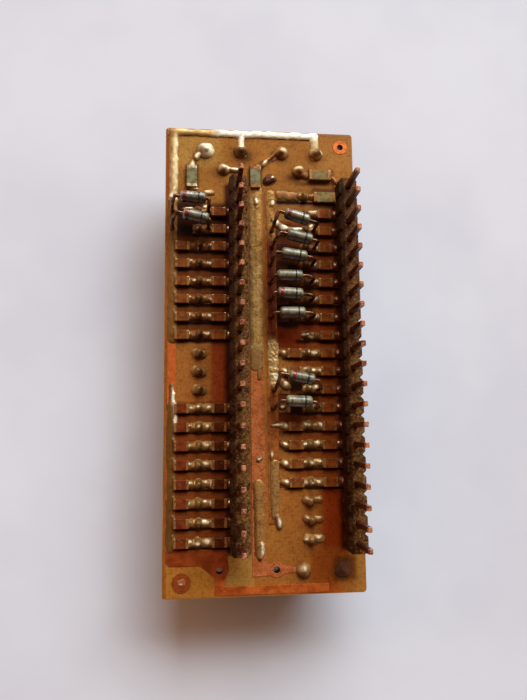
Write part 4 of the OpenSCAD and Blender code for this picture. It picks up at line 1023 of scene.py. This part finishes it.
# Rings of points round an axis, joined into a skin
class Skin:
    def __init__(self):
        self.points, self.faces, self.kinds, self.flanks = [], [], [], []

    def tube(self, rings, kind, closed=True, flank=None):
        first, sides = len(self.points), len(rings[0])
        for ring in rings:
            self.points.extend(ring)
            self.flanks.extend(flank or [0.0] * sides)
        for i in range(len(rings) - 1):
            for s in range(sides):
                t = (s + 1) % sides
                a = first + i * sides
                self.faces.append((a + s, a + t, a + sides + t, a + sides + s))
                self.kinds.append(kind)
        if closed:
            last = first + (len(rings) - 1) * sides
            self.faces.append(tuple(first + s for s in reversed(range(sides))))
            self.faces.append(tuple(last + s for s in range(sides)))
            self.kinds.extend([kind, kind])

    def turned(self, profile, centre, turn, kind, closed):
        along = np.array([math.cos(turn), math.sin(turn), 0])
        across = np.array([-math.sin(turn), math.cos(turn), 0])
        up = np.array([0, 0, 1])
        angles = circle(GLASS_SIDES)
        rings = []
        for a, r in profile:
            rings.append([centre + along * a + r * (across * math.cos(t) + up * math.sin(t)) for t in angles])
        self.tube(rings, kind, closed, [math.cos(t) for t in angles])

    def swept(self, path, radii, kind):
        tangents = np.gradient(path, axis=0)
        tangents /= np.linalg.norm(tangents, axis=1)[:, None]
        side = np.cross(tangents[0], [0, 0, 1.0])
        side = side / np.linalg.norm(side) if np.linalg.norm(side) > 1e-6 else np.array([1.0, 0, 0])
        rings = []
        for p, t, r in zip(path, tangents, radii):
            side = side - t * np.dot(side, t)
            side /= np.linalg.norm(side)
            up = np.cross(t, side)
            rings.append([p + r * (side * math.cos(a) + up * math.sin(a)) for a in circle(WIRE_SIDES)])
        self.tube(rings, kind)

    def mesh(self, name):
        shift = np.array([PLUG_X, PLUG_Y, 0])
        mesh = bpy.data.meshes.new(name)
        mesh.from_pydata([tuple((np.array(p) + shift) * MM) for p in self.points], [], self.faces)
        mesh.polygons.foreach_set("material_index", self.kinds)
        add_values(mesh, "flank", self.flanks)
        mesh.validate()
        mesh.shade_smooth()
        mesh.set_sharp_from_angle(angle=math.radians(50))
        return mesh


GLASS = glass_material()
SLUG = slug_material("grey_slug", lin(120, 120, 94), lin(66, 58, 38), 0.5)
RED = slug_material("red_slug", lin(178, 44, 34), lin(80, 28, 15), 0.0)
BAND = slug_material("dark_band", lin(40, 38, 34), lin(22, 20, 18), 0.0)


# Glass with rounded ends over two slugs, with a dark band on the right and sometimes a red left end
def diode(node, info):
    _, turn, _, _, red = info
    skin = Skin()

    def add(kind, *profile, closed=True):
        skin.turned(profile, middle(node), math.radians(turn), kind, closed)

    end_r = 0.35
    soft = GLASS_R - end_r
    ends = [(GLASS_HALF - soft + soft * math.cos(t), end_r + soft * math.sin(t)) for t in CORNER_TURNS]
    add(0, *ends, *((-a, r) for a, r in reversed(ends)))
    slug_r = 0.66
    left_end = -0.7 if red else -1.5
    add(1, (0.1, 0.3), (0.12, slug_r), (1.5, slug_r), (1.56, 0.3))
    add(1, (left_end - 0.06, 0.3), (left_end, slug_r), (-0.12, slug_r), (-0.1, 0.3))
    if red:
        add(2, (-1.56, 0.3), (-1.5, slug_r), (-0.84, slug_r), (-0.8, 0.3))
        blush = GLASS_R + 0.008
        add(2, (-1.52, 0.76), (-1.36, blush), (-0.9, blush), (-0.86, 0.78), closed=False)
    ring = GLASS_R + 0.012
    add(3, (0.68, ring - 0.02), (0.7, ring), (0.9, ring), (0.92, ring - 0.02), closed=False)
    add_piece("glass_" + node, skin.mesh("glass_" + node), [GLASS, SLUG, RED, BAND], [node])


# Leads follow the diodes: straight out of the glass, over a rounded knee and down to the land
def lead_path(node, info, side):
    row, turn, foot_left, foot_right, _ = info
    turn = math.radians(turn)
    along = np.array([math.cos(turn), math.sin(turn), 0])
    start = middle(node) + side * GLASS_HALF * along
    foot = np.array([foot_left if side < 0 else foot_right, row_y(row), LAND])
    reach = math.hypot(foot[0] - start[0], foot[1] - start[1])
    stub = start + side * reach * 0.45 * along
    out = np.array([foot[0] - stub[0], foot[1] - stub[1], 0])
    out /= np.linalg.norm(out)
    knee = reach * 0.4
    hub = np.array([foot[0], foot[1], start[2] - knee]) - out * knee
    up = np.array([0, 0, 1])
    arc = [hub + knee * (out * math.sin(t) + up * math.cos(t)) for t in CORNER_TURNS]
    return smooth([start - side * 0.2 * along, stub] + arc + [foot - 0.05 * up])


# Points along a rough path, evenly spaced and with its corners eased
def smooth(points):
    points = np.array(points)
    runs = np.concatenate([[0], np.cumsum(np.linalg.norm(np.diff(points, axis=0), axis=1))])
    t = np.linspace(0, runs[-1], max(8, int(runs[-1] / PATH_STEP)))
    path = np.stack([np.interp(t, runs, points[:, i]) for i in range(3)], axis=1)
    for _ in range(4):
        path[1:-1] = (path[:-2] + 2 * path[1:-1] + path[2:]) / 4
    return path


def diode_wires(side_name):
    skin = Skin()
    for n, (node, info) in enumerate(sorted(DIODES.items())):
        if not node.startswith("diode_" + side_name):
            continue
        for side in (-1, 1):
            path = lead_path(node, info, side)
            t = np.arange(len(path)) * PATH_STEP
            radii = WIRE_R * (1 + 0.06 * noise(t, t * 0 + n, 0.4, 900 + n))
            skin.swept(path, radii, 0)
    name = "diode_wires_" + side_name
    add_piece("bent_" + name, skin.mesh(name), [WIRE], [name])


# Joints at the diodes' feet, with the drops beside them
def diode_feet():
    f = Field(-17.3, 4.3, row_y(14), row_y(1), JOINT_STEP, 801)
    f.fill((110, 62, 26))
    for row, _, foot_left, foot_right, _ in DIODES.values():
        for x in (foot_left, foot_right):
            f.fillet(x, row_y(row), 0.5, 0.62, 0.2)
            f.bead(x, row_y(row), x, row_y(row), 0.38, 0.36)
    for x0, y0, x1, y1, w in (
        (-12.1, 22.2, -11.8, 22.4, 0.42), (-15.2, 22.0, -14.0, 22.0, 0.26), (-2.3, 20.6, -1.7, 20.0, 0.5),
        (-1.9, 20.1, -0.6, 19.4, 0.5), (-0.6, 19.4, 1.8, 19.3, 0.4), (2.9, 19.6, 3.3, 19.9, 0.42),
        (-1.5, -2.8, -0.8, -3.4, 0.55), (-1.6, -6.2, -1.2, -6.2, 0.34),
    ):
        f.bead(x0, y0, x1, y1, w, 0.3)
    f.roughen(0.04, 0.5, 820)
    f.soil(0.35, 0.4, 0.6, 840)
    # Painted highlights on the feet's solder
    each(f.paint_highlight,
        (-12.0, 22.4, 0.35, 0.3), (-14.4, 22.0, 0.7, 0.2, (214, 176, 120)),
        (-1.9, 20.3, 0.5, 0.5, (232, 206, 150)), (-0.8, 19.5, 0.7, 0.35, (236, 212, 160)),
        (1.2, 19.4, 0.9, 0.3, (222, 192, 136)), (3.1, 19.8, 0.35, 0.35, (240, 214, 164)),
    )
    f.stain(-1.1, -3.1, 1.0, 1.0, (138, 92, 46))
    f.paint_highlight(-1.0, -3.0, 0.4, 0.3, (196, 156, 100), 0.5)
    f.paint_highlight(-1.4, -6.2, 0.3, 0.2, (176, 132, 84), 0.5)
    f.build_solder("diode_joint_lumps", "diode_joints")


flux_film()
bus_solder()
for side in (0, 1):
    row_solder(side)
    header_solder(side)
top_solder()
bottom_solder()
for node, info in DIODES.items():
    diode(node, info)
for side in SIDES:
    diode_wires(side)
diode_feet()


# A pale table, large enough to fill the view
def floor():
    mesh = bpy.data.meshes.new("table")
    half = 1.5
    corners = [(-half, -half, 0), (half, -half, 0), (half, half, 0), (-half, half, 0)]
    mesh.from_pydata(corners, [], [range(4)])
    obj = bpy.data.objects.new("table", mesh)
    bpy.context.scene.collection.objects.link(obj)
    s = Shader("table_top", Specular_IOR_Level=0.1)
    colour = s.mix(s.blots(30.0, 0.3, 0.7), lin(221, 221, 228), lin(212, 211, 220))
    mesh.materials.append(s.coat(colour, 0.7, s.grain(1.5), 0.01, 0.3))


def lamp(name, place, aim, size, power, colour):
    data = bpy.data.lights.new(name, "AREA")
    data.shape = "RECTANGLE"
    data.size, data.size_y = size
    data.energy = power
    data.color = colour
    obj = bpy.data.objects.new(name, data)
    bpy.context.scene.collection.objects.link(obj)
    obj.location = place
    obj.rotation_mode = "QUATERNION"
    obj.rotation_quaternion = (Vector(aim) - Vector(place)).to_track_quat("-Z", "Y")


# The camera stands over the board, leaning a little, as it was fitted to the pin tips in the photo
def camera():
    data = bpy.data.cameras.new("camera")
    data.lens = 32.3115
    data.sensor_width = 36
    data.clip_start, data.clip_end = 0.005, 10
    obj = bpy.data.objects.new("camera", data)
    bpy.context.scene.collection.objects.link(obj)
    right = Vector((0.99438938, -0.01222671, 0.10507267))
    up = Vector((-0.00235209, 0.99049645, 0.13751821))
    place = Vector((-9.2102, -11.7883, 97.1990)) * MM
    turn = Matrix((right, up, right.cross(up))).transposed()
    obj.matrix_world = Matrix.Translation(place) @ turn.to_4x4()
    bpy.context.scene.camera = obj


floor()
lamp("window", (0.44, 1.19, 1.0), (0, 0, 0.01), (1.5, 0.8), 35.6, (0.88, 1.015, 1.09))
camera()


# Soft room light: pale on the right, warm on the left, brown towards the viewer, dim straight above and pale
# from below the table. Rays of view, gloss and glass see a pale wall low down in its place.
def room():
    world = bpy.data.worlds.new("room")
    world.use_nodes = True
    g = Graph(world.node_tree, "Generated")
    x, y, z = g.axes()
    warm, pale, brown, low = (1.9, 1.02, 0.48), (1.45, 1.33, 1.24), (0.22, 0.06, 0.015), (0.40, 0.20, 0.09)
    above, below, plaster = (0.24, 0.15, 0.10), (0.9, 0.88, 0.86), (1.03, 1.02, 1.08)
    light = g.mix(g.stretch(x, -0.6, 0.6), warm, pale)
    light = g.mix(g.stretch(y, -0.25, 0.65), brown, light)
    light = g.mix(g.stretch(z, 0.0, 0.4), low, light)
    light = g.mix(g.stretch(z, 0.7, 0.95), light, above)
    light = g.mix(g.stretch(z, -0.1, 0.0), below, light)
    wall = g.mix(g.stretch(z, 0.3, 0.6), plaster, light)
    rays = g.nodes.new("ShaderNodeLightPath").outputs
    seen = g.math("MAXIMUM", rays["Is Camera Ray"], rays["Is Glossy Ray"])
    seen = g.math("MAXIMUM", seen, rays["Is Transmission Ray"])
    back = g.nodes.new("ShaderNodeBackground")
    g.feed(back, "Color", g.mix(seen, light, wall))
    g.feed(back, "Strength", 0.62)
    out = g.nodes.new("ShaderNodeOutputWorld")
    g.links.new(back.outputs[0], out.inputs[0])
    bpy.context.scene.world = world


room()
bpy.context.scene.view_settings.view_transform = "Standard"
